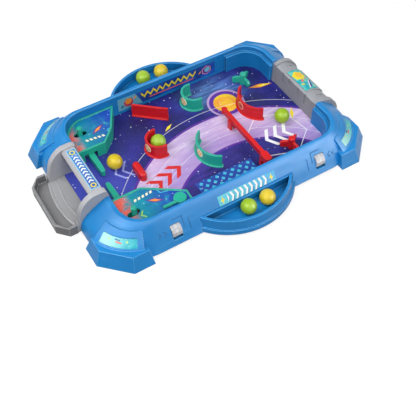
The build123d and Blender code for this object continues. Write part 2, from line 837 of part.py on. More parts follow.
# Saddle block on the far end, with bands, grooves and a raised sticker pad
inner_half = block_half_width - block_band
end_block = saddle(0, block_half_width)
band = saddle(block_band_rise, block_half_width)
end_block += band - block(-far_out, far_out, -inner_half, inner_half, below, above)
end_block += saddle(block_pad_rise, block_pad_half) & block(
    block_label_inner - fit_gap, far_out, -wide_out, wide_out, bridge_height, above)
end_block -= saddle(-block_wall, block_half_width - block_wall)
end_block -= plate(base_inset - fit_gap, below, base_top)
end_block -= block(bridge_inner - fit_gap, bridge_outer + fit_gap, -wide_out, wide_out,
                   below, bridge_height)
for place in block_screws:
    end_block += post(place, boss_radius, bridge_height, block_edge_height) & saddle(0, block_half_width)
    end_block -= screw_hole(place, bridge_height - bridge_wall)
face_skin = saddle(overrun, block_half_width) - saddle(-2 * groove_depth, block_half_width)
face_skin = face_skin & block(cavity_back - overrun, cavity_back + block_edge_lean + groove_depth,
                              -wide_out, wide_out, below, above)
for y, low in zip(groove_places, groove_lows):
    groove = block(-far_out, far_out, y - groove_width / 2, y + groove_width / 2, low, above)
    groove += block(-far_out, far_out, y - groove_foot_reach, y, low, low + groove_foot_width)
    end_block -= face_skin & groove
crown_skin = saddle(overrun, block_half_width) - saddle(-groove_depth, block_half_width)
crown_start = cavity_back + crown_groove_inset
for side in (-1, 1):
    y = side * crown_groove_share * block_half_width
    end_block -= crown_skin & block(crown_start, crown_start + crown_groove_length, y - groove_width / 2,
                                    y + groove_width / 2, bridge_height, far_out)
save("end_block", end_block)
board -= end_block
pad_seat = block_pad_rise + block_label_seat
pad_film = saddle(pad_seat + film, block_label_half) - saddle(pad_seat, block_half_width)
save("end_block_label", pad_film & block(block_label_inner, block_label_outer, -wide_out, wide_out,
                                         bridge_height, above))


def paddle_form(grow):
    """Round button and its bar on the near pod, moved outwards by grow."""
    button = post(paddle_spot, paddle_radius + grow, pod_top, pod_top + paddle_height)
    button = fillet(button.edges().sort_by(Axis.Z)[-1], paddle_fillet)
    bar_y = paddle_spot[1] - paddle_bar_side
    half = paddle_bar_half + grow
    bar_end = paddle_spot[0] - paddle_bar_length - grow
    return button + block(bar_end, paddle_spot[0], bar_y - half, bar_y + half,
                          pod_top, pod_top + paddle_bar_height)


# Thumb paddle, held by a short peg in the near pod's roof
paddle_spot = (paddle_x, -paddle_depth)
paddle_peg = post(paddle_spot, peg_radius, pod_top - pod_roof / 2, pod_top)
save("pod_paddle_near", paddle_form(0) + paddle_peg)

# Control pods, their stickers and the thumb levers
pod_data = (
    ("far", 1, pod_far_corners, pod_far_bosses, lever_places[0], lever_knob_side[0]),
    ("near", -1, pod_near_corners, pod_near_bosses, lever_places[1], lever_knob_side[1]),
)
room_outline = Pos(middle_x, 0) * RectangleRounded(
    cavity_front + cavity_back - 2 * fit_gap, 2 * (cavity_half_width - fit_gap), cavity_corner_radius - fit_gap)
for name, side, corners, bosses, pivot, knob_side in pod_data:
    outline = [(-far_out, side * pod_inner_y)]
    outline += [(x, side * y) for x, y in corners]
    outline += [(corners[-1][0], side * wide_out), (-far_out, side * wide_out)]
    pod_plan = make_face(Polyline(*outline, close=True)) & room_outline
    shelf_plan = offset(pod_plan, amount=-pod_wall, kind=Kind.INTERSECTION)
    label_plan = offset(pod_plan, amount=-pod_wall - pod_label_gap, kind=Kind.INTERSECTION)
    pod = Pos(0, 0, floor) * extrude(pod_plan, pod_top + pod_lip - floor)
    pod -= Pos(0, 0, below) * extrude(shelf_plan, pod_top - pod_roof - below)
    pod -= Pos(0, 0, pod_top) * extrude(shelf_plan, overrun)
    pod += post(pivot, lever_hub_radius - run_gap, lever_top + lever_lift, pod_top - pod_roof)
    knob_place = (pivot[0] + knob_side, side * lever_knob_y)
    knob_run = hypot(knob_side, lever_knob_y - lever_pivot_y)
    knob_turn = degrees(atan2(knob_place[1] - pivot[1], knob_place[0] - pivot[0]))
    knob_path = CenterArc((pivot[0], pivot[1], 0), knob_run, knob_turn - lever_swing, 2 * lever_swing)
    knob_slot = extrude(SlotArc(knob_path, 2 * (knob_radius + run_gap)), above)
    pod -= Pos(0, 0, lever_bar_low - run_gap) * knob_slot
    reach = lever_pivot_y - pod_inner_y
    swing = radians(lever_swing)
    gap_half = reach * sin(swing) / cos(swing) + lever_root_half / cos(swing) + run_gap
    wall_low = side * (pod_inner_y - overrun)
    wall_high = side * (pod_inner_y + pod_wall + overrun / 2)
    pod -= block(pivot[0] - gap_half, pivot[0] + gap_half, min(wall_low, wall_high),
                 max(wall_low, wall_high), floor - overrun, lever_top + run_gap)
    for x, y in bosses:
        pod += post((x, side * y), boss_radius, floor, pod_top - pod_roof)
        pod -= screw_hole((x, side * y), body_lift)
    pod -= post(pivot, lever_pin_radius, floor, pod_top - pod_roof / 2)
    save("control_pod_" + name, pod - paddle_peg)
    pod_label = Pos(0, 0, pod_top) * extrude(label_plan, film)
    save("pod_label_" + name, pod_label - knob_slot - paddle_form(fit_gap))

    tip_centre = side * (lever_tip_y + lever_tip_half)
    arm_line = [
        (pivot[0] - lever_root_half, pivot[1]),
        (pivot[0] + lever_root_half, pivot[1]),
        (pivot[0] + lever_tip_half, tip_centre),
        (pivot[0] - lever_tip_half, tip_centre),
    ]
    lever = prism(arm_line, lever_arm_low, lever_top)
    lever += post((pivot[0], tip_centre), lever_tip_half, lever_arm_low, lever_top)
    lever += post(pivot, lever_hub_radius, floor + lever_lift, lever_top)
    bar_line = [
        (pivot[0] - lever_bar_half, pivot[1]),
        (pivot[0] + lever_bar_half, pivot[1]),
        (knob_place[0] + lever_bar_half, knob_place[1]),
        (knob_place[0] - lever_bar_half, knob_place[1]),
    ]
    lever += prism(bar_line, lever_bar_low, lever_top)
    knob = post(knob_place, knob_radius, lever_bar_low, knob_top)
    lever += fillet(knob.edges().sort_by(Axis.Z)[-1], knob_fillet)
    lever -= post(pivot, lever_pin_radius + pin_gap, below, above)
    save("flipper_lever_" + name, lever)
    pins.append(post(pivot, lever_pin_radius, body_lift + base_thickness / 2, pod_top - pod_roof / 2))
save("flipper_pins", Compound(pins))

# Score wheels on axles between stands
axles = []
stands = []
for x, name in zip(wheel_places, ("left", "right")):
    centre = Pos(x, -wheel_centre_y, wheel_centre_z) * Rot(0, quarter_turn, 0)
    wheel = extrude(RegularPolygon(wheel_radius, wheel_faces), wheel_width / 2, both=True)
    wheel -= Cylinder(wheel_axle_radius + pin_gap, 2 * wheel_width)
    save("score_wheel_" + name, centre * wheel)
    axles.append(centre * Cylinder(wheel_axle_radius, wheel_axle_length))
    for side in (-1, 1):
        inner = x + side * (wheel_width / 2 + run_gap)
        outer = inner + side * stand_thickness
        stand = block(min(inner, outer), max(inner, outer), -wheel_centre_y - stand_half,
                      -wheel_centre_y + stand_half, base_top, wheel_centre_z + stand_crown)
        stands.append(stand - centre * Cylinder(wheel_axle_radius, 2 * wheel_axle_length))
save("wheel_axles", Compound(axles))
save("wheel_stands", Compound(stands))

# Stickers on the outside and inside of the frame's long walls
side_band = block(side_label_start, side_label_end, -wide_out, 0, side_label_low, side_label_high)
save("side_label", (label_form - outer_form) & side_band)
save("wall_label", block(wall_label_start, wall_label_end, cavity_half_width - film, cavity_half_width,
                         wall_label_low, wall_label_high))


def plug(shape, spots):
    """Add pegs under a bumper and note the holes they need."""
    for spot in spots:
        shape += post(spot, peg_radius, floor - peg_length, floor + bumper_flange_height)
        pegs.append(spot)
    return shape


def curved_wall(place, radius, start, sweep):
    """Upright curved bumper wall with a foot flange and two pegs."""
    middle = (place[0], place[1], 0)
    line = CenterArc(middle, radius, start, sweep)
    wall = Pos(0, 0, floor) * extrude(SlotArc(line, bumper_wall), bumper_height)
    flange = SlotArc(line, bumper_wall + 2 * bumper_flange_reach)
    wall += Pos(0, 0, floor) * extrude(flange, bumper_flange_height)
    spots = []
    for share in peg_shares:
        angle = radians(start + sweep * share)
        spots.append((place[0] + radius * cos(angle), place[1] + radius * sin(angle)))
    return plug(wall, spots)


# Curved bumpers, each with a round sticker on its back
curved = (
    ("cup_red", red_cup_place, cup_radius, cup_start, cup_sweep, dot_angles[0]),
    ("cup_teal", teal_cup_place, cup_radius, cup_start, cup_sweep, dot_angles[1]),
    ("curve_teal", teal_curve_place, curve_radius, curve_start, curve_sweep, dot_angles[2]),
    ("curve_red", red_curve_place, curve_radius, curve_start, curve_sweep, dot_angles[3]),
)
for name, place, radius, start, sweep, dot_angle in curved:
    save("bumper_" + name, curved_wall(place, radius, start, sweep))
    back = radius + bumper_wall / 2
    band = post(place, back + film, floor, bumper_top) - post(place, back, below, above)
    dot_centre = Pos(place[0], place[1], floor + dot_height) * Rot(0, 0, dot_angle) * Rot(0, quarter_turn, 0)
    spike = Cylinder(dot_radius, radius + overrun, align=(Align.CENTER, Align.CENTER, Align.MIN))
    save("dot_" + name, band & (dot_centre * spike))

# Straight bumper plate
plate_at = Pos(plate_place[0], plate_place[1], floor) * Rot(0, 0, plate_turn)
upright = (Align.CENTER, Align.CENTER, Align.MIN)
plate_wall = Box(plate_length, bumper_wall, bumper_height, align=upright)
plate_wall += Box(plate_length, bumper_wall + 2 * bumper_flange_reach, bumper_flange_height, align=upright)
turn = radians(plate_turn)
plate_spots = []
for shift in (-plate_peg_side, plate_peg_side):
    plate_spots.append((plate_place[0] + shift * cos(turn), plate_place[1] + shift * sin(turn)))
save("bumper_plate_red", plug(plate_at * plate_wall, plate_spots))

# Raised rail on a forked leg and a slotted end block
rail_bottom = bumper_top - rail_drop
rail = block(rail_x - rail_width / 2, rail_x + rail_width / 2, rail_start, rail_end, rail_bottom, bumper_top)
rail += post((rail_x, rail_end), rail_head_radius, rail_bottom, bumper_top)
fork = block(rail_x - rail_fork_half, rail_x + rail_fork_half, rail_fork_y - rail_fork_leg,
             rail_fork_y + rail_fork_leg, floor, rail_bottom + rail_width / 2)
fork -= block(rail_x - rail_fork_leg / 2, rail_x + rail_fork_leg / 2, -wide_out, wide_out,
              below, rail_bottom)
rail += fork
end_low = rail_block_y - rail_block_length / 2
end_high = rail_block_y + rail_block_length / 2
rail_end_block = block(rail_x - rail_block_width / 2, rail_x + rail_block_width / 2, end_low, end_high,
                       floor, bumper_top)
rail_end_block -= block(-far_out, far_out, rail_block_y - rail_slot_width / 2,
                        rail_block_y + rail_slot_width / 2, below, floor + rail_slot_height)
rail += rail_end_block
leg_mid = (rail_fork_half + rail_fork_leg / 2) / 2
rail_spots = [(rail_x - leg_mid, rail_fork_y), (rail_x + leg_mid, rail_fork_y)]
half_slot = (rail_block_length + rail_slot_width) / 4
for spot_y in (rail_block_y - half_slot, rail_block_y + half_slot):
    rail_spots.append((rail_x, spot_y))
slim_pegs = []
for spot in rail_spots:
    rail += post(spot, peg_radius / 2, floor - peg_length, floor + bumper_flange_height)
    slim_pegs.append(spot)
save("bumper_rail_red", rail)

# Short rounded bar
pill = extrude(Rot(0, 0, quarter_turn) * SlotOverall(pill_length, pill_width), pill_height)
pill = fillet(pill.edges().group_by(Axis.Z)[-1], pill_fillet)
pill = Pos(pill_place[0], pill_place[1], floor) * pill
pill_side = (pill_length - pill_width) / 2
pill_spots = [(pill_place[0], pill_place[1] + side * pill_side) for side in (-1, 1)]
save("bumper_bar_red", plug(pill, pill_spots))

# Three-blade spinners on hidden pins
spinner_pins = []
for place, name in zip(spinner_places, ("teal", "red")):
    low = floor + lever_lift
    hub = post(place, spinner_hub_radius, low, floor + spinner_height)
    hub = fillet(hub.edges().sort_by(Axis.Z)[-1], spinner_fillet)
    blade_low = floor + spinner_blade_low
    round_radius = spinner_blade_height / 2
    for number in range(spinner_blades):
        angle = spinner_turn + full_turn * number / spinner_blades
        turn = Pos(place[0], place[1], blade_low) * Rot(0, 0, angle)
        length = spinner_reach - round_radius
        blade = Box(length, spinner_blade_thickness, spinner_blade_height,
                    align=(Align.MIN, Align.CENTER, Align.MIN))
        disc = Rot(quarter_turn, 0, 0) * Cylinder(round_radius, spinner_blade_thickness)
        tip = Pos(length, 0, round_radius) * disc
        hub += turn * (blade + tip)
    pin_top = floor + spinner_height - spinner_cap
    hub -= post(place, spinner_pin_radius + pin_gap, below, pin_top)
    save("spinner_" + name, hub)
    spinner_pins.append(post(place, spinner_pin_radius, body_lift + base_thickness / 2, pin_top - lever_lift))
save("spinner_pins", Compound(spinner_pins))

# Finish the two floor plates with their holes
for spot in pegs:
    hole = post(spot, peg_radius, below, above)
    base -= hole
    board -= hole
for spot in slim_pegs:
    hole = post(spot, peg_radius / 2, below, above)
    base -= hole
    board -= hole
for pin in pins + spinner_pins:
    base -= pin
    board -= pin
save("base_plate", base)
save("playfield", board)

# Loose balls
ball_floor = floor + ball_gap + ball_radius
ball_shelf = tray_floor + ball_gap + ball_radius
ball_names = []
for number, spot in enumerate(ball_on_field):
    ball_names.append(("ball_field_" + str(number + 1), spot, ball_floor))
for number, spot in enumerate(ball_in_near_tray):
    ball_names.append(("ball_near_" + str(number + 1), spot, ball_shelf))
for number, spot in enumerate(ball_in_far_tray):
    ball_names.append(("ball_far_" + str(number + 1), spot, ball_shelf))
for name, spot, height in ball_names:
    save(name, Pos(spot[0], spot[1], height) * Sphere(ball_radius))

# Screws, all alike
screws = [screw(place, screw_sink) for place in foot_screws]
screws += [screw(place, body_lift) for place in tray_screws + pod_screws]
screws += [screw(place, screw_sink) for place in gate_screws]
screws += [screw(place, bridge_height - bridge_wall) for place in block_screws]
save("screws", Compound(screws))
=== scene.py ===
"""Looks of a table-top pinball game: finishes, prints, wheel digits, wall marks, light and camera."""

import math

import bpy
import numpy as np
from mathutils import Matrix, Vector


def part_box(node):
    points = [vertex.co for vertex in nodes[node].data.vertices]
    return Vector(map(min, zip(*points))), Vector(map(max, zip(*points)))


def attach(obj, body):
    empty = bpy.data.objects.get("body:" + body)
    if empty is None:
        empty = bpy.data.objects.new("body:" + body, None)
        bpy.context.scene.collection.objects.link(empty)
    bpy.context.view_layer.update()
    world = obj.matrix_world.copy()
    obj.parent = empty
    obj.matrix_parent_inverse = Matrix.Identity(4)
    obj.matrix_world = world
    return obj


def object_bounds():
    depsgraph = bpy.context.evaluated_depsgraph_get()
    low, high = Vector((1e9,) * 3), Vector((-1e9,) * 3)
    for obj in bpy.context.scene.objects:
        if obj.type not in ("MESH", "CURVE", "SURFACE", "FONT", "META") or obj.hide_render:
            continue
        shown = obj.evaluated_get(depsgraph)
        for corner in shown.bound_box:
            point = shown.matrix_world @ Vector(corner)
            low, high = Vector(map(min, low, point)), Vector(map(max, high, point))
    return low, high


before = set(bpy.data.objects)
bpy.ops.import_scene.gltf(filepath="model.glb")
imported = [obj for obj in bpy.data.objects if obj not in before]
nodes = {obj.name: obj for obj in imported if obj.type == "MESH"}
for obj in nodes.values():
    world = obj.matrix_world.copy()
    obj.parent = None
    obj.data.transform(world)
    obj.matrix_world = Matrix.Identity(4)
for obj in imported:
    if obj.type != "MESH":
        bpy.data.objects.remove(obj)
cad_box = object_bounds()

# Prints are laid out in millimetres, and the scene is in metres
PER_METRE = 1000.0
MM = 1.0 / PER_METRE
ACROSS = Vector((1, 0, 0))
DEEP = Vector((0, 1, 0))
UPWARDS = Vector((0, 0, 1))

# What all finishes share: gloss, soft edges painted pale as a highlight, the strength of the grain, and
# scuffs in the gloss
SHEEN = 0.27
EDGE_SAMPLES = 4
EDGE_HIGHLIGHT_BENDS = (0.99, 0.82)
GRAIN_STRENGTH = 0.5
SCUFF_STRETCH = (1.0, 3.4, 2.2)
SCUFF_SCALE = 46.0
SCUFF_SPAN = (0.35, 0.75)
SCUFF_GLOSSIER = 0.04
SCUFF_DULLER = 0.11

# Moulded plastic: drifting shade, streaks of flow, and painted shade on the sides, in hollows and in
# recesses.
# Reaches are in metres, and a grain is its lumps to the metre and its depth in metres
DRIFT_SCALE = 11.0
DRIFT_SPAN = (0.34, 0.66)
FLOW_STRETCH = (30.0, 30.0, 150.0)
FLOW_SPAN = (0.55, 0.8)
FLOW_SHARE = 0.16
# Painted shade on faces that don't look up: the span of their turn from up, and the deep tone they get
PAINTED_SIDE_SHADE_SPAN = (0.75, 0.05)
PAINTED_SIDE_SHADE_TONE = 0.1
# Painted shade in hollows and recesses: how far the closing in is looked for, spans, the dark tone and its
# samples
HOLLOW_SHADE_REACH = 0.016
HOLLOW_SHADE_SPAN = (0.8, 0.3)
RECESS_SHADE_REACH = 0.0016
RECESS_SHADE_SPAN = (0.8, 0.45)
PAINTED_SHADE_TONE = 0.2
PAINTED_SHADE_SAMPLES = 6
MOULD_GRAIN = (1700.0, 0.00006)

# Prints: half the soft edge of a mark in millimetres, the core of a glow, specks and mottle
INK_EDGE = 0.22
GLOW_CORE = 0.1
SPECK_SPAN = (0.6, 1.0)
SPECK_NONE = -0.02
SPECK_EDGE = 0.012
MOTTLE_SCALE = 420.0
MOTTLE_SPAN = (0.4, 0.8)
MOTTLE_SHARE = 0.014
PRINT_GRAIN = (2300.0, 0.00003)

# Steel pins and screws
STEEL_STRETCH = (2600.0, 2600.0, 90.0)
STEEL_ROUGHNESS = 0.28
STEEL_GRAIN = (1500.0, 0.00003)

# Balls, with a seam across an axis
BALL_DRIFT_SCALE = 70.0
BALL_DRIFT_SPAN = (0.35, 0.7)
BALL_TONES = (0.9, 1.05)
BALL_ROUGHNESS = 0.33
BALL_GRAIN = (900.0, 0.00004)
SEAM_AXIS = Vector((0.31, 0.22, 0.925))
SEAM_SPAN = (0.3, 0.1)
SEAM_SHARE = 0.35
SEAM_TONE = 0.55

# Camera, fitted to the photograph's 416 by 407 frame
CAMERA_PLACE = (-0.2985, -0.5261, 0.6564)
CAMERA_AIM = (-0.0271, -0.0854, 0.0)
CAMERA_LENS = 61.98
SENSOR_WIDTH = 36.0

# Light, in metres and watts: two soft lamps, three panels that show only in gloss, fill and floor
FRONT_LAMP_PLACE = (-0.1, -0.95, 1.15)
FRONT_LAMP_POWER = 13.5
BACK_LAMP_PLACE = (-0.75, 0.4, 1.2)
BACK_LAMP_POWER = 10.8
LAMP_SIZE = 1.1
SHEEN_LAMP_PLACE = (0.8, -0.85, 0.62)
SHEEN_LAMP_POWER = 17.0
LEFT_SHEEN_PLACE = (-0.85, -0.25, 0.95)
LEFT_SHEEN_POWER = 20.0
LOW_SHEEN_PLACE = (0.95, -1.1, 0.3)
LOW_SHEEN_POWER = 22.0
FILL_STRENGTH = 0.28
FLOOR_HALF = 6.0
FLOOR_SHADE = 0.3
FLOOR_ROUGHNESS = 0.9
FLOOR_SHEEN = 0.1
FLOOR_LIFT = 0.74
FLOOR_FAR_LIFT = 0.95
FLOOR_FADE = (0.4, 1.5)

# Half the length of the play space, from which the board's print is laid out, in millimetres
BOARD_HALF = 141.8

# Digits on the score wheels: type size in millimetres, curve steps, rise off the facet and body
WHEEL_FACETS = 10
DIGIT_TYPE_SIZE = 3.9 * 1.4
DIGIT_CURVE_STEPS = 4
DIGIT_RISE = 0.06
DIGIT_BODY = 0.04

# Ridges on the near wall: metres outside the game from where the wall is looked for, steps to a
# stretch of the path, sides of the profile, how fast a ridge gets to its full size, and its size at the tip
RAY_START = 1.0
RIDGE_STEPS = 8
RIDGE_SIDES = 12
RIDGE_TAPER = 4.0
RIDGE_TIP = 0.15

# Marks beside the score wheels that the ridges draw, in millimetres
MARK_WIDTH = 1.3
MARK_RISE = 0.45
HOOK_REACH = 17.5
HOOK_HEIGHTS = (12.8, 21.0, 23.0, 26.0)
HOOK_SWAYS = (0.0, 0.2, -0.9, 0.9)
CHEVRON_REACHES = (11.8, 18.2)
CHEVRON_DEPTHS = (4.6, 3.6)
CHEVRON_HALVES = (3.0, 2.3)
CHEVRON_HEIGHT = 20.2
SURROUND_REACH = 10.6
SURROUND_HEIGHTS = (17.5, 30.0)
SURROUND_END = 3.6


def linear(level):
    """Screen level from 0 to 255 as the light level that the shaders work in, by the sRGB curve."""
    share = level / 255.0
    return share / 12.92 if share <= 0.04045 else ((share + 0.055) / 1.055) ** 2.4


def paint(red, green, blue):
    """Colour socket value for screen levels from 0 to 255."""
    return (linear(red), linear(green), linear(blue), 1.0)


def toned(colour, share):
    """Colour made darker below one, or led towards white above one."""
    if share <= 1:
        return tuple(channel * share for channel in colour[:3]) + (1.0,)
    return tuple(channel + (1 - channel) * (share - 1) for channel in colour[:3]) + (1.0,)


WHITE_INK = paint(245, 247, 250)
NAVY_INK = paint(24, 32, 92)
YELLOW_INK = paint(243, 222, 52)
LIME_INK = paint(172, 216, 70)
ORANGE_INK = paint(244, 150, 52)
CORAL_INK = paint(236, 98, 84)
RED_INK = paint(212, 42, 40)
PURPLE_INK = paint(92, 46, 158)
LILAC_INK = paint(186, 160, 212)
CYAN_INK = paint(74, 196, 226)
CREAM_INK = paint(250, 240, 205)


class Finish:
    """A material being made: its nodes, and short calls that add to them."""

    def __init__(self, name):
        self.material = bpy.data.materials.new(name)
        self.material.use_nodes = True
        self.tree = self.material.node_tree
        self.shader = self.tree.nodes["Principled BSDF"]
        where = self.add("ShaderNodeTexCoord").outputs
        self.place = where["Object"]
        self.facing = where["Normal"]

    def add(self, kind, **settings):
        """New node with its settings."""
        node = self.tree.nodes.new(kind)
        for key, value in settings.items():
            setattr(node, key, value)
        return node

    def put(self, socket, value):
        """Link a socket to another, or set its value."""
        if isinstance(value, bpy.types.NodeSocket):
            self.tree.links.new(value, socket)
        else:
            socket.default_value = value

    def work(self, operation, first, second=0.0):
        """One sum on numbers."""
        node = self.add("ShaderNodeMath", operation=operation)
        self.put(node.inputs[0], first)
        self.put(node.inputs[1], second)
        return node.outputs[0]

    def most(self, *values):
        """Largest of several numbers."""
        result = values[0]
        for value in values[1:]:
            result = self.work("MAXIMUM", result, value)
        return result

    def arrow(self, operation, first, second=(0.0, 0.0, 0.0)):
        """One sum on arrows."""
        node = self.add("ShaderNodeVectorMath", operation=operation)
        self.put(node.inputs[0], first)
        self.put(node.inputs[1], second)
        plain = operation in ("DOT_PRODUCT", "DISTANCE", "LENGTH")
        return node.outputs["Value" if plain else "Vector"]

    def slope(self, value, low, high, first=0.0, second=1.0):
        """Number that goes smoothly from first to second as value goes from low to high."""
        node = self.add("ShaderNodeMapRange", interpolation_type="SMOOTHSTEP")
        for socket, level in zip(node.inputs, (value, low, high, first, second)):
            self.put(socket, level)
        return node.outputs[0]

    def cloud(self, where, scale, detail=2.0):
        """Soft noise of so many lumps to the unit of where."""
        node = self.add("ShaderNodeTexNoise")
        self.put(node.inputs["Vector"], where)
        node.inputs["Scale"].default_value = scale
        node.inputs["Detail"].default_value = detail
        return node.outputs["Fac"]

    def over(self, share, under, upper):
        """Upper colour laid over the under one by a share."""
        node = self.add("ShaderNodeMix", data_type="RGBA")
        self.put(node.inputs[0], share)
        self.put(node.inputs[6], under)
        self.put(node.inputs[7], upper)
        return node.outputs[2]

    def layers(self, under, *marks):
        """Marks, each a share and a colour, laid one over the other."""
        for share, colour in marks:
            under = self.over(share, under, colour)
        return under

    def sheet(self, centre, across, up):
        """Millimetres across and up a print, from its centre."""
        offset = self.arrow("SUBTRACT", self.place, centre)
        join = self.add("ShaderNodeCombineXYZ")
        self.put(join.inputs[0], self.arrow("DOT_PRODUCT", offset, across * PER_METRE))
        self.put(join.inputs[1], self.arrow("DOT_PRODUCT", offset, up * PER_METRE))
        return join.outputs[0]

    def inside(self, excess):
        """Share of ink where a distance past a mark's edge is below zero."""
        return self.slope(excess, INK_EDGE, -INK_EDGE)

    def part_of(self, share, level):
        """Share of ink thinned to a level."""
        return self.work("MULTIPLY", share, level)

    def axes(self, spot, middle, turn):
        """Distances along and across a mark that is turned by so many degrees."""
        offset = self.arrow("SUBTRACT", spot, (*middle, 0.0))
        lean = math.radians(turn)
        along = self.arrow("DOT_PRODUCT", offset, (math.cos(lean), math.sin(lean), 0.0))
        across = self.arrow("DOT_PRODUCT", offset, (-math.sin(lean), math.cos(lean), 0.0))
        return along, across

    def past(self, distance, half):
        """How far the size of a distance is past a half width."""
        return self.work("SUBTRACT", self.work("ABSOLUTE", distance), half)

    def disc(self, spot, middle, radius):
        """Round mark: the distance from the middle is less than the radius."""
        gap = self.arrow("DISTANCE", spot, (*middle, 0.0))
        return self.inside(self.work("SUBTRACT", gap, radius))

    def ring(self, spot, middle, radius, width):
        """Round line: the distance from the middle is within half a width of the radius."""
        gap = self.arrow("DISTANCE", spot, (*middle, 0.0))
        return self.inside(self.past(self.work("SUBTRACT", gap, radius), width / 2))

    def glow(self, spot, middle, half_long, half_wide, turn=0.0):
        """Soft oval: one in its core, and nothing where the scaled distance is one."""
        along, across = self.axes(spot, middle, turn)
        join = self.add("ShaderNodeCombineXYZ")
        self.put(join.inputs[0], self.work("DIVIDE", along, half_long))
        self.put(join.inputs[1], self.work("DIVIDE", across, half_wide))
        return self.slope(self.arrow("LENGTH", join.outputs[0]), 1.0, GLOW_CORE)

    def bar(self, spot, middle, length, width, turn=0.0):
        """Straight mark: within half a length along and half a width across."""
        along, across = self.axes(spot, middle, turn)
        return self.inside(self.most(self.past(along, length / 2), self.past(across, width / 2)))

    def diamond(self, spot, middle, length, width, turn=0.0):
        """Lozenge: the scaled distances along and across add up to less than one."""
        along, across = self.axes(spot, middle, turn)
        first = self.work("MULTIPLY", self.work("ABSOLUTE", along), width / length)
        gap = self.work("ADD", first, self.work("ABSOLUTE", across))
        return self.inside(self.work("SUBTRACT", gap, width / 2))

    def chevron(self, spot, middle, depth, half, width, turn=0.0):
        """Two arms: along, plus a share of the size of across, is within half a width."""
        along, across = self.axes(spot, middle, turn)
        lean = self.work("MULTIPLY", self.work("ABSOLUTE", across), depth / half)
        arms = self.past(self.work("ADD", along, lean), width / 2)
        return self.inside(self.most(arms, self.past(across, half)))

    def hexagon_gap(self, spot, middle, radius, turn=0.0):
        """Distance past the nearest of six sides."""
        sides = []
        for step in range(3):
            along, _ = self.axes(spot, middle, turn + step * 60.0)
            sides.append(self.past(along, radius))
        return self.most(*sides)

    def hexagon(self, spot, middle, radius, turn=0.0):
        """Six-sided mark."""
        return self.inside(self.hexagon_gap(spot, middle, radius, turn))

    def hexagon_line(self, spot, middle, radius, width, turn=0.0):
        """Six-sided line: within half a width of the sides."""
        gap = self.hexagon_gap(spot, middle, radius, turn)
        return self.inside(self.past(gap, width / 2))

    def star(self, spot, middle, radius):
        """Four points: the roots of the two distances add up to less than the radius's root."""
        along, across = self.axes(spot, middle, 0.0)
        first = self.work("SQRT", self.work("ABSOLUTE", along))
        second = self.work("SQRT", self.work("ABSOLUTE", across))
        gap = self.work("SUBTRACT", self.work("ADD", first, second), math.sqrt(radius))
        return self.inside(gap)

    def hatch(self, spot, middle, length, height, pitch, width, lean, turn=0.0, bent=False):
        """Row of leaning or bent bars: the leaned distance along, folded each half pitch, is small."""
        along, across = self.axes(spot, middle, turn)
        climb = self.work("ABSOLUTE", across) if bent else across
        leaned = self.work("SUBTRACT", along, self.work("MULTIPLY", climb, lean))
        folded = self.work("PINGPONG", leaned, pitch / 2)
        bars = self.work("SUBTRACT", folded, width / 2)
        ends = self.most(self.past(along, length / 2), self.past(across, height / 2))
        return self.inside(self.most(bars, ends))

    def zigzag(self, spot, middle, length, height, pitch, width):
        """Bent line: across is within half a width of a wave that climbs and falls once a pitch."""
        along, across = self.axes(spot, middle, 0.0)
        folded = self.work("PINGPONG", along, pitch / 2)
        wave = self.work("MULTIPLY", self.work("SUBTRACT", folded, pitch / 4), 2 * height / pitch)
        line = self.past(self.work("SUBTRACT", across, wave), width / 2)
        return self.inside(self.most(line, self.past(along, length / 2)))

    def specks(self, where, pitch, radius):
        """Scattered dots: the distance to the nearest of a set of scattered points is small."""
        node = self.add("ShaderNodeTexVoronoi", voronoi_dimensions="2D")
        self.put(node.inputs["Vector"], where)
        node.inputs["Scale"].default_value = 1.0 / pitch
        size = self.add("ShaderNodeSeparateColor")
        self.put(size.inputs[0], node.outputs["Color"])
        reach = self.slope(size.outputs[0], *SPECK_SPAN, SPECK_NONE, radius / pitch)
        gap = self.work("SUBTRACT", node.outputs["Distance"], reach)
        return self.slope(gap, SPECK_EDGE, -SPECK_EDGE)

    def wear(self, colour, roughness, grain, edge_radius=0.0, edge_highlight_level=0.0, pale=WHITE_INK):
        """Soft edges painted towards the pale colour as a highlight, fine grain and scuffs, under a given
        colour.
        """
        grain_scale, grain_depth = grain
        # Painted highlight: edges lightened towards the pale colour where the soft normal bends
        if edge_radius > 0:
            soft = self.add("ShaderNodeBevel", samples=EDGE_SAMPLES)
            soft.inputs["Radius"].default_value = edge_radius
            facing = self.add("ShaderNodeNewGeometry").outputs["Normal"]
            bend = self.arrow("DOT_PRODUCT", soft.outputs[0], facing)
            colour = self.over(self.slope(bend, *EDGE_HIGHLIGHT_BENDS, second=edge_highlight_level), colour, pale)
        dents = self.add("ShaderNodeBump")
        dents.inputs["Strength"].default_value = GRAIN_STRENGTH
        dents.inputs["Distance"].default_value = grain_depth
        self.put(dents.inputs["Height"], self.cloud(self.place, grain_scale))
        if edge_radius > 0:
            self.put(dents.inputs["Normal"], soft.outputs[0])
        self.put(self.shader.inputs["Normal"], dents.outputs[0])
        rub = self.arrow("MULTIPLY", self.place, SCUFF_STRETCH)
        scuffs = self.cloud(rub, SCUFF_SCALE, detail=4.0)
        worn = self.slope(scuffs, *SCUFF_SPAN, roughness - SCUFF_GLOSSIER, roughness + SCUFF_DULLER)
        self.put(self.shader.inputs["Roughness"], worn)
        self.shader.inputs["Specular IOR Level"].default_value = SHEEN
        self.put(self.shader.inputs["Base Color"], colour)
        return self.material


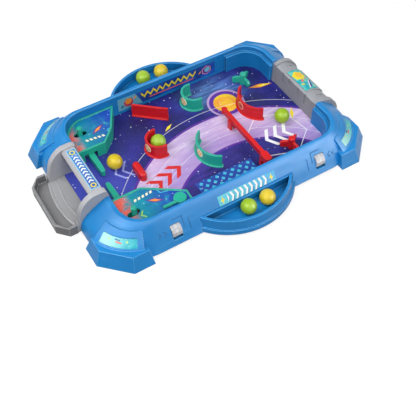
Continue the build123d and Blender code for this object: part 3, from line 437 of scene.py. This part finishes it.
def moulded(name, colour, roughness, pale, deep=0.88, edge=0.0009, edge_highlight_level=0.6, recess_shade=0.5,
            hollow_shade=0.0, side=1.0):
    """Moulded plastic: drifting shade, streaks of flow, painted shade on sides, hollows and recesses,
    painted pale highlights on edges.
    """
    finish = Finish(name)
    drift = finish.slope(finish.cloud(finish.place, DRIFT_SCALE, detail=3.0), *DRIFT_SPAN)
    body = finish.over(drift, toned(colour, deep), colour)
    flow = finish.cloud(finish.arrow("MULTIPLY", finish.place, FLOW_STRETCH), scale=1.0, detail=3.0)
    body = finish.over(finish.slope(flow, *FLOW_SPAN, second=FLOW_SHARE), body, pale)
    # Painted shade: faces that turn away from up are darkened towards a deep tone of the colour
    if side < 1:
        upward = finish.arrow("DOT_PRODUCT", finish.facing, UPWARDS)
        turned = finish.slope(upward, *PAINTED_SIDE_SHADE_SPAN, second=1.0 - side)
        body = finish.over(turned, body, toned(colour, PAINTED_SIDE_SHADE_TONE))
    # Painted shade: hollows and recesses darkened where nearby surfaces close them in
    for share, reach, span in ((hollow_shade, HOLLOW_SHADE_REACH, HOLLOW_SHADE_SPAN), (recess_shade, RECESS_SHADE_REACH, RECESS_SHADE_SPAN)):
        if share > 0:
            shade_occlusion = finish.add("ShaderNodeAmbientOcclusion", samples=PAINTED_SHADE_SAMPLES, only_local=True)
            shade_occlusion.inputs["Distance"].default_value = reach
            depth = finish.slope(shade_occlusion.outputs["AO"], *span, second=share)
            body = finish.over(depth, body, toned(colour, PAINTED_SHADE_TONE))
    return finish.wear(body, roughness, MOULD_GRAIN, edge, edge_highlight_level, pale)


def printed(finish, colour, roughness=0.34):
    """Printed film or board: faint ink mottle under a thin even grain."""
    clouds = finish.cloud(finish.place, MOTTLE_SCALE, detail=3.0)
    mottle = finish.slope(clouds, *MOTTLE_SPAN, second=MOTTLE_SHARE)
    return finish.wear(finish.over(mottle, colour, WHITE_INK), roughness, PRINT_GRAIN)


def dress(material, *names):
    """Give CAD nodes one material all over."""
    for name in names:
        mesh = nodes[name].data
        mesh.materials.clear()
        mesh.materials.append(material)


def middle_of(name):
    """Centre of a CAD node's box."""
    low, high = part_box(name)
    return (low + high) / 2


# Moulded pieces
blue = paint(20, 136, 210)
grey = paint(186, 187, 192)
teal = paint(34, 178, 150)
red = paint(222, 22, 28)

blue_plastic = moulded("blue_moulding", blue, roughness=0.34, pale=paint(112, 196, 250), deep=0.86,
                       edge=0.0014, edge_highlight_level=0.85, hollow_shade=0.65, side=0.86)
grey_plastic = moulded("grey_moulding", grey, roughness=0.44, pale=paint(220, 221, 225), deep=0.92,
                       edge=0.0012, edge_highlight_level=0.7, hollow_shade=0.5, side=0.8)
# The end block's grey is darker than the gate's: painted shade for the block deep in the play space
block_shaded_plastic = moulded("end_block_shaded_moulding", paint(162, 165, 171), roughness=0.46,
                        pale=paint(206, 208, 212), deep=0.9, recess_shade=0.9, side=0.78)
chute_plastic = moulded("chute_moulding", paint(160, 160, 163), roughness=0.44,
                        pale=paint(226, 227, 230), deep=0.9, edge=0.0014, edge_highlight_level=0.8)
tray_plastic = moulded("catch_moulding", paint(128, 128, 131), roughness=0.5, pale=paint(218, 219, 222),
                       deep=0.9, edge=0.0016, edge_highlight_level=0.85, hollow_shade=0.6, side=0.75)
wheel_plastic = moulded("wheel_moulding", paint(196, 197, 201), roughness=0.42,
                        pale=paint(226, 227, 230), deep=0.92)
teal_plastic = moulded("teal_moulding", teal, roughness=0.34, pale=paint(112, 222, 206), deep=0.9,
                       edge=0.0011, edge_highlight_level=0.8)
red_plastic = moulded("red_moulding", red, roughness=0.34, pale=paint(236, 110, 104), deep=0.88,
                      edge=0.0008, edge_highlight_level=0.5)
# The wall marks are the wall's blue made darker: painted shade along the low ridges
shaded_mark_plastic = moulded("wall_mark_shaded_moulding", toned(blue, 0.62), roughness=0.42, pale=blue, recess_shade=0.0)
ink_white = moulded("digit_ink", paint(240, 241, 244), roughness=0.5, pale=WHITE_INK, deep=0.95,
                    edge=0.0, recess_shade=0.0)

feet = ["foot_front_near", "foot_front_far", "foot_back_near", "foot_back_far"]
dress(blue_plastic, "frame", "base_plate", "ball_tray_near", "ball_tray_far", *feet)
dress(grey_plastic, "goal_gate", "wheel_stands")
dress(chute_plastic, "goal_chute")
dress(block_shaded_plastic, "end_block")
dress(tray_plastic, "catch_tray")
dress(wheel_plastic, "score_wheel_left", "score_wheel_right")
dress(teal_plastic, "control_pod_far", "control_pod_near", "flipper_lever_far", "flipper_lever_near",
      "pod_paddle_near", "bumper_cup_teal", "bumper_curve_teal", "spinner_teal")
dress(red_plastic, "bumper_cup_red", "bumper_curve_red", "bumper_plate_red", "bumper_rail_red",
      "bumper_bar_red", "spinner_red")


def drawn_steel():
    """Drawn steel: fine streaks of shade along the pins."""
    finish = Finish("drawn_steel")
    streaks = finish.cloud(finish.arrow("MULTIPLY", finish.place, STEEL_STRETCH), scale=1.0, detail=3.0)
    colour = finish.over(streaks, paint(150, 153, 158), paint(205, 208, 212))
    finish.shader.inputs["Metallic"].default_value = 1.0
    return finish.wear(colour, STEEL_ROUGHNESS, STEEL_GRAIN)


dress(drawn_steel(), "flipper_pins", "wheel_axles", "spinner_pins", "screws")


def ball_plastic(name, colour, centre):
    """Ball: slow shade, a fine seam round its waist where the halves meet, and small rubs."""
    finish = Finish(name)
    drift = finish.slope(finish.cloud(finish.place, BALL_DRIFT_SCALE), *BALL_DRIFT_SPAN)
    low_tone, high_tone = BALL_TONES
    body = finish.over(drift, toned(colour, low_tone), toned(colour, high_tone))
    offset = finish.arrow("SUBTRACT", finish.place, centre)
    height = finish.arrow("DOT_PRODUCT", offset, SEAM_AXIS * PER_METRE)
    seam = finish.slope(finish.work("ABSOLUTE", height), *SEAM_SPAN, second=SEAM_SHARE)
    body = finish.over(seam, body, toned(colour, SEAM_TONE))
    return finish.wear(body, BALL_ROUGHNESS, BALL_GRAIN)


lime = paint(164, 202, 34)
yellow = paint(230, 202, 26)
ball_colours = {
    "ball_field_1": yellow,
    "ball_field_2": lime,
    "ball_field_3": lime,
    "ball_near_1": lime,
    "ball_near_2": yellow,
    "ball_far_1": lime,
    "ball_far_2": yellow,
}
for ball, ball_colour in ball_colours.items():
    dress(ball_plastic(ball + "_plastic", ball_colour, middle_of(ball)), ball)


def board_print():
    """Board: night-blue clouds and glows, an arched lane, a target, a checked band, chevrons, specks."""
    finish = Finish("board_print")
    _, back_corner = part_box("playfield")
    spot = finish.sheet(Vector((back_corner.x - BOARD_HALF * MM, 0.0, back_corner.z)), ACROSS, DEEP)
    clouds = finish.cloud(spot, scale=0.022, detail=4.0)
    ground = finish.over(finish.slope(clouds, 0.35, 0.68), paint(20, 23, 92), paint(44, 42, 142))
    along, _ = finish.axes(spot, (0.0, 0.0), turn=12.0)
    goal_side = finish.slope(along, -62.0, -138.0, second=0.85)
    streaks = finish.cloud(finish.arrow("MULTIPLY", spot, (0.03, 0.16, 1.0)), scale=1.0, detail=4.0)
    airy = finish.slope(streaks, 0.34, 0.72, first=0.25)
    far_glow = finish.glow(spot, (62.0, 66.0), half_long=66.0, half_wide=40.0, turn=-8.0)
    far_glow = finish.work("MULTIPLY", far_glow, airy)
    near_glow = finish.glow(spot, (-20.0, -30.0), half_long=90.0, half_wide=46.0, turn=12.0)
    near_glow = finish.work("MULTIPLY", near_glow, airy)

    lane_middle = (24.0, -150.0)
    lane_radius = 150.0
    lane_half = 27.0
    lane_border_half = 1.5
    lane_line_inset = 9.0
    outer_line_radius = 190.0
    gap = finish.arrow("DISTANCE", spot, (*lane_middle, 0.0))
    lane_gap = finish.past(finish.work("SUBTRACT", gap, lane_radius), lane_half)
    lane = finish.inside(lane_gap)
    lane_border = finish.inside(finish.past(lane_gap, lane_border_half))
    lane_tint = finish.over(airy, paint(186, 158, 216), paint(222, 204, 236))
    shade = finish.slope(gap, lane_radius - lane_half, lane_radius + lane_half)
    lane_tint = finish.over(finish.slope(shade, 0.0, 0.8, first=0.35), paint(158, 126, 202), lane_tint)
    colour = finish.layers(
        ground,
        (goal_side, paint(72, 84, 198)),
        (finish.part_of(near_glow, 0.6), paint(92, 66, 176)),
        (finish.part_of(far_glow, 0.85), paint(112, 164, 232)),
        (lane, lane_tint),
        (lane_border, PURPLE_INK),
    )
    for inset in (-lane_line_inset, lane_line_inset):
        line = finish.ring(spot, lane_middle, radius=lane_radius + inset, width=0.9)
        colour = finish.over(finish.part_of(line, 0.5), colour, WHITE_INK)

    target = (66.0, 40.0)
    colour = finish.layers(
        colour,
        (finish.disc(spot, target, radius=25.0), LILAC_INK),
        (finish.disc(spot, target, radius=22.0), PURPLE_INK),
        (finish.disc(spot, target, radius=16.5), finish.over(airy, ORANGE_INK, YELLOW_INK)),
        (finish.ring(spot, target, radius=10.5, width=1.2), ORANGE_INK),
    )

    red_start = (-72.0, -33.0)
    red_step = (15.0, 4.5)
    for count in range(3):
        middle = (red_start[0] + red_step[0] * count, red_start[1] + red_step[1] * count)
        chevron = finish.chevron(spot, middle, depth=11.0, half=11.0, width=7.0, turn=16.0)
        colour = finish.over(chevron, colour, RED_INK)

    band_middle = (0.0, -72.0)
    checks = finish.work(
        "MULTIPLY",
        finish.hatch(spot, band_middle, length=76.0, height=40.0, pitch=11.0, width=5.4, lean=1.0),
        finish.hatch(spot, band_middle, length=76.0, height=40.0, pitch=11.0, width=5.4, lean=-1.0),
    )
    band = finish.bar(spot, band_middle, length=78.0, width=30.0)
    colour = finish.layers(
        colour,
        (finish.part_of(band, 0.55), paint(36, 92, 200)),
        (finish.work("MULTIPLY", checks, band), CYAN_INK),
    )

    white_start = (74.0, -42.0)
    white_step = 13.0
    for count in range(3):
        middle = (white_start[0] + white_step * count, white_start[1])
        chevron = finish.chevron(spot, middle, depth=9.0, half=15.0, width=5.0, turn=180.0)
        colour = finish.over(chevron, colour, WHITE_INK)

    pale_ink = paint(150, 160, 232)
    hexagon_line = finish.hexagon_line(spot, (90.0, -40.0), radius=34.0, width=1.1, turn=10.0)
    outer_line = finish.ring(spot, lane_middle, radius=outer_line_radius, width=0.9)
    colour = finish.layers(
        colour,
        (finish.part_of(hexagon_line, 0.85), WHITE_INK),
        (finish.part_of(outer_line, 0.55), WHITE_INK),
        (finish.diamond(spot, (122.0, 44.0), length=34.0, width=7.0, turn=-14.0), ORANGE_INK),
        (finish.diamond(spot, (126.0, 43.0), length=20.0, width=4.4, turn=-14.0), YELLOW_INK),
        (finish.diamond(spot, (128.0, -20.0), length=22.0, width=5.0, turn=60.0), YELLOW_INK),
        (finish.diamond(spot, (-20.0, 40.0), length=16.0, width=4.0, turn=30.0), YELLOW_INK),
        (finish.chevron(spot, (-112.0, 6.0), depth=9.0, half=13.0, width=3.0, turn=180.0), pale_ink),
        (finish.chevron(spot, (-102.0, 6.0), depth=9.0, half=13.0, width=3.0, turn=180.0), pale_ink),
        (finish.part_of(finish.specks(spot, pitch=8.5, radius=0.75), 0.9), WHITE_INK),
    )
    return printed(finish, colour, roughness=0.4)


dress(board_print(), "playfield")


def pod_print(name, label, side):
    """Pod label: teal to blue, a warm goal side, a six-sided badge, a lozenge, dashes and specks."""
    finish = Finish(name)
    spot = finish.sheet(middle_of(label), ACROSS, DEEP * side)
    mist = finish.cloud(spot, scale=0.09, detail=4.0)
    along, _ = finish.axes(spot, (0.0, 0.0), 0.0)
    ground = finish.over(finish.slope(along, -26.0, 26.0), paint(0, 142, 158), paint(22, 72, 178))
    warm = finish.work("MULTIPLY", finish.slope(along, -19.0, -33.0), finish.slope(mist, 0.3, 0.55))
    dashes = finish.hatch(spot, (-6.0, 13.0), length=26.0, height=3.4, pitch=5.2, width=3.0, lean=0.4,
                          turn=6.0)
    colour = finish.layers(
        ground,
        (finish.slope(mist, 0.5, 0.75, second=0.5), paint(24, 182, 190)),
        (warm, CORAL_INK),
        (finish.hexagon(spot, (20.0, 14.0), radius=8.0, turn=15.0), paint(40, 52, 150)),
        (finish.hexagon_line(spot, (20.0, 14.0), radius=8.0, width=1.2, turn=15.0), CYAN_INK),
        (finish.diamond(spot, (20.0, 14.0), length=10.0, width=6.0, turn=20.0), YELLOW_INK),
        (finish.diamond(spot, (3.0, 1.0), length=22.0, width=7.0, turn=-28.0), PURPLE_INK),
        (finish.diamond(spot, (3.0, 1.0), length=15.0, width=4.0, turn=-28.0), ORANGE_INK),
        (dashes, CREAM_INK),
        (finish.chevron(spot, (-20.0, -10.0), depth=4.0, half=5.0, width=1.8, turn=180.0), LIME_INK),
        (finish.part_of(finish.specks(spot, pitch=5.0, radius=0.5), 0.8), WHITE_INK),
    )
    return printed(finish, colour, roughness=0.3)


dress(pod_print("pod_print_near", "pod_label_near", 1.0), "pod_label_near")
dress(pod_print("pod_print_far", "pod_label_far", -1.0), "pod_label_far")


def gate_print():
    """Header label: blue with a pale border, a row of bent bars and a ring at each end."""
    finish = Finish("gate_print")
    spot = finish.sheet(middle_of("goal_label"), -DEEP, ACROSS)
    low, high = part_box("goal_label")
    half_long = (high.y - low.y) / 2 * PER_METRE
    half_wide = (high.x - low.x) / 2 * PER_METRE
    along, across = finish.axes(spot, (0.0, 0.0), 0.0)
    border_width = 1.1
    border = finish.most(finish.past(along, half_long - border_width),
                         finish.past(across, half_wide - border_width))
    bars = finish.hatch(spot, (0.0, 0.0), length=2 * half_long - 20.0, height=6.0, pitch=5.0, width=2.3,
                        lean=0.8, bent=True)
    ring_end = half_long - 5.4
    colour = finish.layers(
        finish.over(finish.slope(along, -half_long, half_long), paint(46, 134, 206), paint(36, 96, 182)),
        (finish.slope(border, -INK_EDGE, INK_EDGE), paint(150, 200, 230)),
        (bars, WHITE_INK),
        (finish.ring(spot, (-ring_end, 0.0), radius=2.7, width=1.4), YELLOW_INK),
        (finish.ring(spot, (ring_end, 0.0), radius=2.7, width=1.4), YELLOW_INK),
    )
    return printed(finish, colour)


dress(gate_print(), "goal_label")


def side_print():
    """Outer side label: cyan with deeper streaks, a row of shaded bent bars, a star at each end."""
    finish = Finish("side_print")
    wall_lean = 0.5
    spot = finish.sheet(middle_of("side_label"), ACROSS, (UPWARDS - DEEP * wall_lean).normalized())
    low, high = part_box("side_label")
    half_long = (high.x - low.x) / 2 * PER_METRE
    along, _ = finish.axes(spot, (0.0, 0.0), 0.0)
    streaks = finish.cloud(finish.arrow("MULTIPLY", spot, (0.05, 0.5, 1.0)), scale=1.0, detail=3.0)
    row = 2 * half_long - 24.0
    shade = finish.hatch(spot, (0.5, -0.4), length=row, height=6.2, pitch=6.4, width=3.0, lean=-0.8,
                         bent=True)
    bars = finish.hatch(spot, (0.0, 0.0), length=row, height=5.8, pitch=6.4, width=2.6, lean=-0.8,
                        bent=True)
    star_end = half_long - 5.5
    colour = finish.layers(
        finish.over(finish.slope(along, -half_long, half_long), paint(92, 204, 218), paint(44, 172, 220)),
        (finish.slope(streaks, 0.5, 0.75, second=0.6), paint(30, 140, 208)),
        (shade, paint(20, 112, 186)),
        (bars, WHITE_INK),
        (finish.star(spot, (-star_end, 0.0), radius=3.6), YELLOW_INK),
        (finish.star(spot, (star_end, 0.0), radius=3.6), YELLOW_INK),
    )
    return printed(finish, colour)


dress(side_print(), "side_label")


def wall_print():
    """Inner wall label: deep blue, a pale panel, a yellow zigzag over a coral line, two badges."""
    finish = Finish("wall_print")
    spot = finish.sheet(middle_of("wall_label"), ACROSS, UPWARDS)
    low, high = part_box("wall_label")
    half_long = (high.x - low.x) / 2 * PER_METRE
    along, across = finish.axes(spot, (0.0, 0.0), 0.0)
    mist = finish.cloud(spot, scale=0.05, detail=3.0)
    panel_edge = finish.work("ADD", along, finish.work("MULTIPLY", across, 0.5))
    shadow = paint(40, 58, 74)
    left = (-half_long + 15.0, 0.0)
    right = (half_long - 13.0, 0.5)
    right_core = (right[0] + 1.0, right[1] + 0.6)
    colour = finish.layers(
        finish.over(finish.slope(mist, 0.35, 0.7), paint(14, 52, 134), paint(26, 92, 188)),
        (finish.slope(panel_edge, -half_long + 31.0, -half_long + 29.0), paint(104, 174, 196)),
        (finish.hexagon(spot, left, radius=6.2, turn=20.0), paint(190, 52, 96)),
        (finish.hexagon(spot, (left[0], left[1] + 1.6), radius=4.4, turn=20.0), ORANGE_INK),
        (finish.diamond(spot, (left[0] + 9.5, 4.0), length=6.0, width=3.0, turn=40.0), ORANGE_INK),
        (finish.diamond(spot, (left[0] - 9.0, -4.0), length=6.0, width=3.0, turn=40.0), NAVY_INK),
        (finish.zigzag(spot, (2.0, 1.9), length=82.0, height=6.4, pitch=9.0, width=5.4), shadow),
        (finish.zigzag(spot, (2.0, 2.2), length=81.0, height=6.4, pitch=9.0, width=3.8), YELLOW_INK),
        (finish.bar(spot, (6.0, -5.0), length=66.0, width=1.7), CORAL_INK),
        (finish.hexagon(spot, right, radius=6.0, turn=5.0), paint(98, 46, 148)),
        (finish.hexagon_line(spot, right, radius=6.0, width=1.0, turn=5.0), paint(226, 150, 150)),
        (finish.hexagon(spot, right_core, radius=3.7, turn=5.0), paint(112, 196, 214)),
        (finish.diamond(spot, (right[0] - 10.0, 0.0), length=7.0, width=2.4, turn=40.0), ORANGE_INK),
    )
    return printed(finish, colour)


dress(wall_print(), "wall_label")


def block_print():
    """End block label: teal and lime patches, a six-sided badge, lozenges, a dark stripe and specks."""
    finish = Finish("block_print")
    spot = finish.sheet(middle_of("end_block_label"), ACROSS, DEEP)
    mist = finish.cloud(spot, scale=0.16, detail=3.0)
    colour = finish.layers(
        finish.over(finish.slope(mist, 0.4, 0.62), paint(28, 170, 182), paint(96, 212, 206)),
        (finish.slope(mist, 0.6, 0.66, second=0.8), LIME_INK),
        (finish.hexagon(spot, (-0.5, 8.0), radius=7.6, turn=12.0), YELLOW_INK),
        (finish.hexagon(spot, (0.6, 9.0), radius=4.2, turn=12.0), paint(250, 196, 60)),
        (finish.diamond(spot, (-2.0, -2.5), length=7.0, width=4.0, turn=50.0), CORAL_INK),
        (finish.diamond(spot, (-5.0, -9.0), length=6.0, width=3.4, turn=-20.0), YELLOW_INK),
        (finish.bar(spot, (4.6, -10.0), length=16.0, width=3.4, turn=66.0), paint(30, 60, 150)),
        (finish.bar(spot, (3.0, -10.6), length=16.0, width=1.2, turn=66.0), WHITE_INK),
        (finish.diamond(spot, (4.6, 0.6), length=4.0, width=3.0, turn=10.0), ORANGE_INK),
        (finish.part_of(finish.specks(spot, pitch=3.2, radius=0.5), 0.9), YELLOW_INK),
    )
    return printed(finish, colour)


dress(block_print(), "end_block_label")


def foot_print(name, label, out_x, out_y):
    """Foot sticker: pale to teal from left to right, two bars, two small stars and specks."""
    finish = Finish(name)
    outwards = Vector((out_x, out_y, 0)).normalized()
    rightwards = Vector((-outwards.y, outwards.x, 0))
    spot = finish.sheet(middle_of(label), rightwards, (UPWARDS - outwards).normalized())
    along, _ = finish.axes(spot, (0.0, 0.0), 0.0)
    mist = finish.cloud(spot, scale=0.1, detail=3.0)
    colour = finish.layers(
        finish.over(finish.slope(along, -17.0, 15.0), paint(170, 232, 226), paint(34, 182, 196)),
        (finish.slope(mist, 0.45, 0.75, second=0.5), paint(120, 220, 222)),
        (finish.bar(spot, (-1.0, 1.0), length=6.0, width=1.5, turn=-8.0), paint(24, 76, 150)),
        (finish.bar(spot, (0.5, -1.6), length=7.0, width=1.5, turn=-8.0), paint(232, 96, 52)),
        (finish.star(spot, (-10.5, 0.8), radius=2.4), paint(200, 232, 90)),
        (finish.star(spot, (10.0, 0.4), radius=2.4), paint(226, 236, 90)),
        (finish.part_of(finish.specks(spot, pitch=4.2, radius=0.35), 0.7), WHITE_INK),
    )
    return printed(finish, colour, roughness=0.28)


foot_sides = {"front_near": (-1, -1), "front_far": (-1, 1), "back_near": (1, -1), "back_far": (1, 1)}
for corner, (out_x, out_y) in foot_sides.items():
    sticker = "foot_sticker_" + corner
    dress(foot_print("foot_print_" + corner, sticker, out_x, out_y), sticker)


def dot_print(name, label, border, ground, mark):
    """Round sticker: a pale border, a warm ground, and a leaning bar between two dots."""
    finish = Finish(name)
    spot = finish.sheet(middle_of(label), -DEEP, UPWARDS)
    low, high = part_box(label)
    radius = (high.z - low.z) / 2 * PER_METRE
    border_width = 1.1
    bar_length = radius * 1.2
    colour = finish.layers(
        border,
        (finish.disc(spot, (0.0, 0.0), radius=radius - border_width), ground),
        (finish.bar(spot, (0.0, 0.0), length=bar_length, width=1.5, turn=55.0), mark),
        (finish.disc(spot, (-2.0, 1.3), radius=0.9), mark),
        (finish.disc(spot, (2.0, -1.3), radius=0.9), mark),
    )
    return printed(finish, colour)


warm_ground = paint(246, 190, 82)
salmon_ground = paint(226, 92, 84)
for dot in ("dot_cup_red", "dot_cup_teal", "dot_curve_teal"):
    dress(dot_print(dot + "_print", dot, CREAM_INK, warm_ground, paint(250, 246, 214)), dot)
dress(dot_print("dot_curve_red_print", "dot_curve_red", paint(244, 176, 150), salmon_ground,
                paint(120, 16, 24)), "dot_curve_red")


def digit_mesh(digit):
    """Corners and faces of a flat digit with a little body, from the built-in typeface."""
    letters = bpy.data.curves.new("digit", "FONT")
    letters.body = str(digit)
    letters.align_x = "CENTER"
    letters.align_y = "CENTER"
    letters.size = DIGIT_TYPE_SIZE
    letters.extrude = DIGIT_BODY
    letters.resolution_u = DIGIT_CURVE_STEPS
    holder = bpy.data.objects.new("digit", letters)
    bpy.context.scene.collection.objects.link(holder)
    bpy.context.view_layer.update()
    mesh = holder.to_mesh()
    corners = np.empty(len(mesh.vertices) * 3)
    mesh.vertices.foreach_get("co", corners)
    faces = [tuple(face.vertices) for face in mesh.polygons]
    holder.to_mesh_clear()
    bpy.data.objects.remove(holder)
    bpy.data.curves.remove(letters)
    corners = corners.reshape(-1, 3)
    corners[:, :2] -= (corners[:, :2].min(0) + corners[:, :2].max(0)) / 2
    return corners, faces


def wheel_digits(name, wheel, body):
    """Digits 0 to 9, one to a facet: each is laid flat on the facet at the apothem of the wheel."""
    low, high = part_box(wheel)
    centre = np.array((low + high) / 2)
    apothem = (high.z - low.z) / 2 * PER_METRE * math.cos(math.pi / WHEEL_FACETS)
    all_corners = []
    all_faces = []
    start = 0
    for digit in range(WHEEL_FACETS):
        turn = (2 * digit + 1) * math.pi / WHEEL_FACETS
        outwards = np.array((0.0, math.sin(turn), -math.cos(turn)))
        upwards = np.cross(outwards, np.array(ACROSS))
        corners, faces = digit_mesh(digit)
        flat = corners[:, :1] * np.array(ACROSS) + corners[:, 1:2] * upwards
        lifted = (apothem + DIGIT_RISE + corners[:, 2:3]) * outwards
        all_corners.append(centre + (flat + lifted) * MM)
        all_faces.extend(tuple(index + start for index in face) for face in faces)
        start += len(corners)
    mesh = bpy.data.meshes.new(name)
    mesh.from_pydata(np.concatenate(all_corners).tolist(), [], all_faces)
    mesh.materials.append(ink_white)
    piece = bpy.data.objects.new(name, mesh)
    bpy.context.scene.collection.objects.link(piece)
    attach(piece, body)


wheel_digits("wheel_digits_left", "score_wheel_left", "score_left")
wheel_digits("wheel_digits_right", "score_wheel_right", "score_right")


def near_wall(across_mm, height_mm):
    """Points on the outer face of the near wall and the wall's outward directions there."""
    far_out = cad_box[0].y - RAY_START
    points = []
    facings = []
    for across, height in zip(across_mm, height_mm):
        start = Vector((across * MM, far_out, height * MM))
        _, point, facing, _ = nodes["frame"].ray_cast(start, DEEP)
        points.append(point)
        facings.append(facing)
    return np.array(points), np.array(facings)


def wall_ridge(name, across_mm, height_mm):
    """Ridge on the near wall: an oval profile, half sunk, carried along a path laid on the wall."""
    share = np.linspace(0.0, len(across_mm) - 1.0, RIDGE_STEPS * (len(across_mm) - 1) + 1)
    steps = np.arange(len(across_mm))
    points, facings = near_wall(np.interp(share, steps, across_mm), np.interp(share, steps, height_mm))
    ahead = np.gradient(points, axis=0)
    ahead /= np.linalg.norm(ahead, axis=1, keepdims=True)
    beside = np.cross(facings, ahead)
    beside /= np.linalg.norm(beside, axis=1, keepdims=True)
    turn = np.linspace(0.0, 2 * math.pi, RIDGE_SIDES, endpoint=False)
    to_end = np.minimum(share, share[-1] - share)
    taper = np.clip(to_end * RIDGE_TAPER, RIDGE_TIP, 1.0)[:, None, None]
    sideways = np.cos(turn)[None, :, None] * beside[:, None, :] * (MARK_WIDTH / 2 * MM)
    outwards = np.sin(turn)[None, :, None] * facings[:, None, :] * (MARK_RISE * MM)
    grid = points[:, None, :] + taper * (sideways + outwards)
    rows, columns = grid.shape[:2]
    row = np.arange(rows - 1)[:, None]
    column = np.arange(columns)[None, :]
    following = (column + 1) % columns
    faces = np.stack(np.broadcast_arrays(row * columns + column, row * columns + following,
                                         (row + 1) * columns + following,
                                         (row + 1) * columns + column), -1).reshape(-1, 4)
    caps = [tuple(range(columns))[::-1], tuple(range((rows - 1) * columns, rows * columns))]
    mesh = bpy.data.meshes.new(name)
    mesh.from_pydata(grid.reshape(-1, 3).tolist(), [], faces.tolist() + caps)
    mesh.materials.append(shaded_mark_plastic)
    mesh.shade_smooth()
    piece = bpy.data.objects.new(name, mesh)
    bpy.context.scene.collection.objects.link(piece)
    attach(piece, "game")


for wheel, side in (("score_wheel_left", -1.0), ("score_wheel_right", 1.0)):
    wheel_x = middle_of(wheel).x * PER_METRE
    tag = wheel.rsplit("_", 1)[1]
    hook = [wheel_x - side * (HOOK_REACH + sway) for sway in HOOK_SWAYS]
    wall_ridge("wall_hook_" + tag, hook, HOOK_HEIGHTS)
    surround = [wheel_x - side * reach for reach in (SURROUND_REACH, SURROUND_REACH, -SURROUND_END)]
    heights = [SURROUND_HEIGHTS[0], SURROUND_HEIGHTS[1], SURROUND_HEIGHTS[1]]
    wall_ridge("wall_surround_" + tag, surround, heights)
    for count, (reach, depth, half) in enumerate(zip(CHEVRON_REACHES, CHEVRON_DEPTHS, CHEVRON_HALVES)):
        arm_end = wheel_x + side * (reach + depth)
        tips = [arm_end, wheel_x + side * reach, arm_end]
        levels = [CHEVRON_HEIGHT + half, CHEVRON_HEIGHT, CHEVRON_HEIGHT - half]
        wall_ridge("wall_chevron_%s_%d" % (tag, count + 1), tips, levels)


def studio_floor():
    """Wide pale floor: lit plainly, with a lift for the camera and mirror-like rays to white."""
    corners = np.array([(-1, -1, 0), (1, -1, 0), (1, 1, 0), (-1, 1, 0)]) * FLOOR_HALF
    mesh = bpy.data.meshes.new("studio_floor")
    mesh.from_pydata(corners.tolist(), [], [(0, 1, 2, 3)])
    floor = bpy.data.objects.new("studio_floor", mesh)
    bpy.context.scene.collection.objects.link(floor)
    finish = Finish("studio_floor")
    finish.shader.inputs["Base Color"].default_value = (FLOOR_SHADE, FLOOR_SHADE, FLOOR_SHADE, 1.0)
    finish.shader.inputs["Roughness"].default_value = FLOOR_ROUGHNESS
    finish.shader.inputs["Specular IOR Level"].default_value = FLOOR_SHEEN
    finish.shader.inputs["Emission Color"].default_value = (1.0, 1.0, 1.0, 1.0)
    rays = finish.add("ShaderNodeLightPath").outputs
    seen = finish.most(rays["Is Camera Ray"], rays["Is Glossy Ray"], rays["Is Transmission Ray"])
    away = finish.arrow("LENGTH", finish.place)
    lift = finish.slope(away, *FLOOR_FADE, first=FLOOR_LIFT, second=FLOOR_FAR_LIFT)
    finish.put(finish.shader.inputs["Emission Strength"], finish.work("MULTIPLY", seen, lift))
    mesh.materials.append(finish.material)


def studio_world():
    """White surroundings for the camera and mirror-like rays, and a plain soft fill."""
    world = bpy.data.worlds.new("studio_world")
    world.use_nodes = True
    tree = world.node_tree
    background = tree.nodes["Background"]
    background.inputs["Color"].default_value = (1.0, 1.0, 1.0, 1.0)
    rays = tree.nodes.new("ShaderNodeLightPath").outputs
    seen = rays["Is Camera Ray"]
    for kind in ("Is Glossy Ray", "Is Transmission Ray"):
        either = tree.nodes.new("ShaderNodeMath")
        either.operation = "MAXIMUM"
        tree.links.new(seen, either.inputs[0])
        tree.links.new(rays[kind], either.inputs[1])
        seen = either.outputs[0]
    level = tree.nodes.new("ShaderNodeMapRange")
    tree.links.new(seen, level.inputs["Value"])
    level.inputs["To Min"].default_value = FILL_STRENGTH
    level.inputs["To Max"].default_value = 1.0
    tree.links.new(level.outputs[0], background.inputs["Strength"])
    bpy.context.scene.world = world


def studio_lamp(name, place, power, sheen_only=False):
    """Wide soft lamp aimed at the game, or a pale panel that only shows in glossy surfaces."""
    lamp = bpy.data.lights.new(name, "AREA")
    lamp.shape = "DISK"
    lamp.size = LAMP_SIZE
    lamp.energy = power
    holder = bpy.data.objects.new(name, lamp)
    holder.location = place
    holder.rotation_euler = (-Vector(place)).to_track_quat("-Z", "Y").to_euler()
    holder.visible_diffuse = not sheen_only
    bpy.context.scene.collection.objects.link(holder)


def studio_camera():
    """Camera at the photograph's angle."""
    lens = bpy.data.cameras.new("studio_camera")
    lens.sensor_fit = "HORIZONTAL"
    lens.sensor_width = SENSOR_WIDTH
    lens.lens = CAMERA_LENS
    camera = bpy.data.objects.new("studio_camera", lens)
    camera.location = CAMERA_PLACE
    aim = Vector(CAMERA_AIM) - Vector(CAMERA_PLACE)
    camera.rotation_euler = aim.to_track_quat("-Z", "Y").to_euler()
    bpy.context.scene.collection.objects.link(camera)
    bpy.context.scene.camera = camera


studio_floor()
studio_world()
studio_lamp("front_lamp", FRONT_LAMP_PLACE, FRONT_LAMP_POWER)
studio_lamp("back_lamp", BACK_LAMP_PLACE, BACK_LAMP_POWER)
studio_lamp("sheen_lamp", SHEEN_LAMP_PLACE, SHEEN_LAMP_POWER, sheen_only=True)
studio_lamp("left_sheen_lamp", LEFT_SHEEN_PLACE, LEFT_SHEEN_POWER, sheen_only=True)
studio_lamp("low_sheen_lamp", LOW_SHEEN_PLACE, LOW_SHEEN_POWER, sheen_only=True)
studio_camera()
bpy.context.scene.view_settings.view_transform = "Standard"
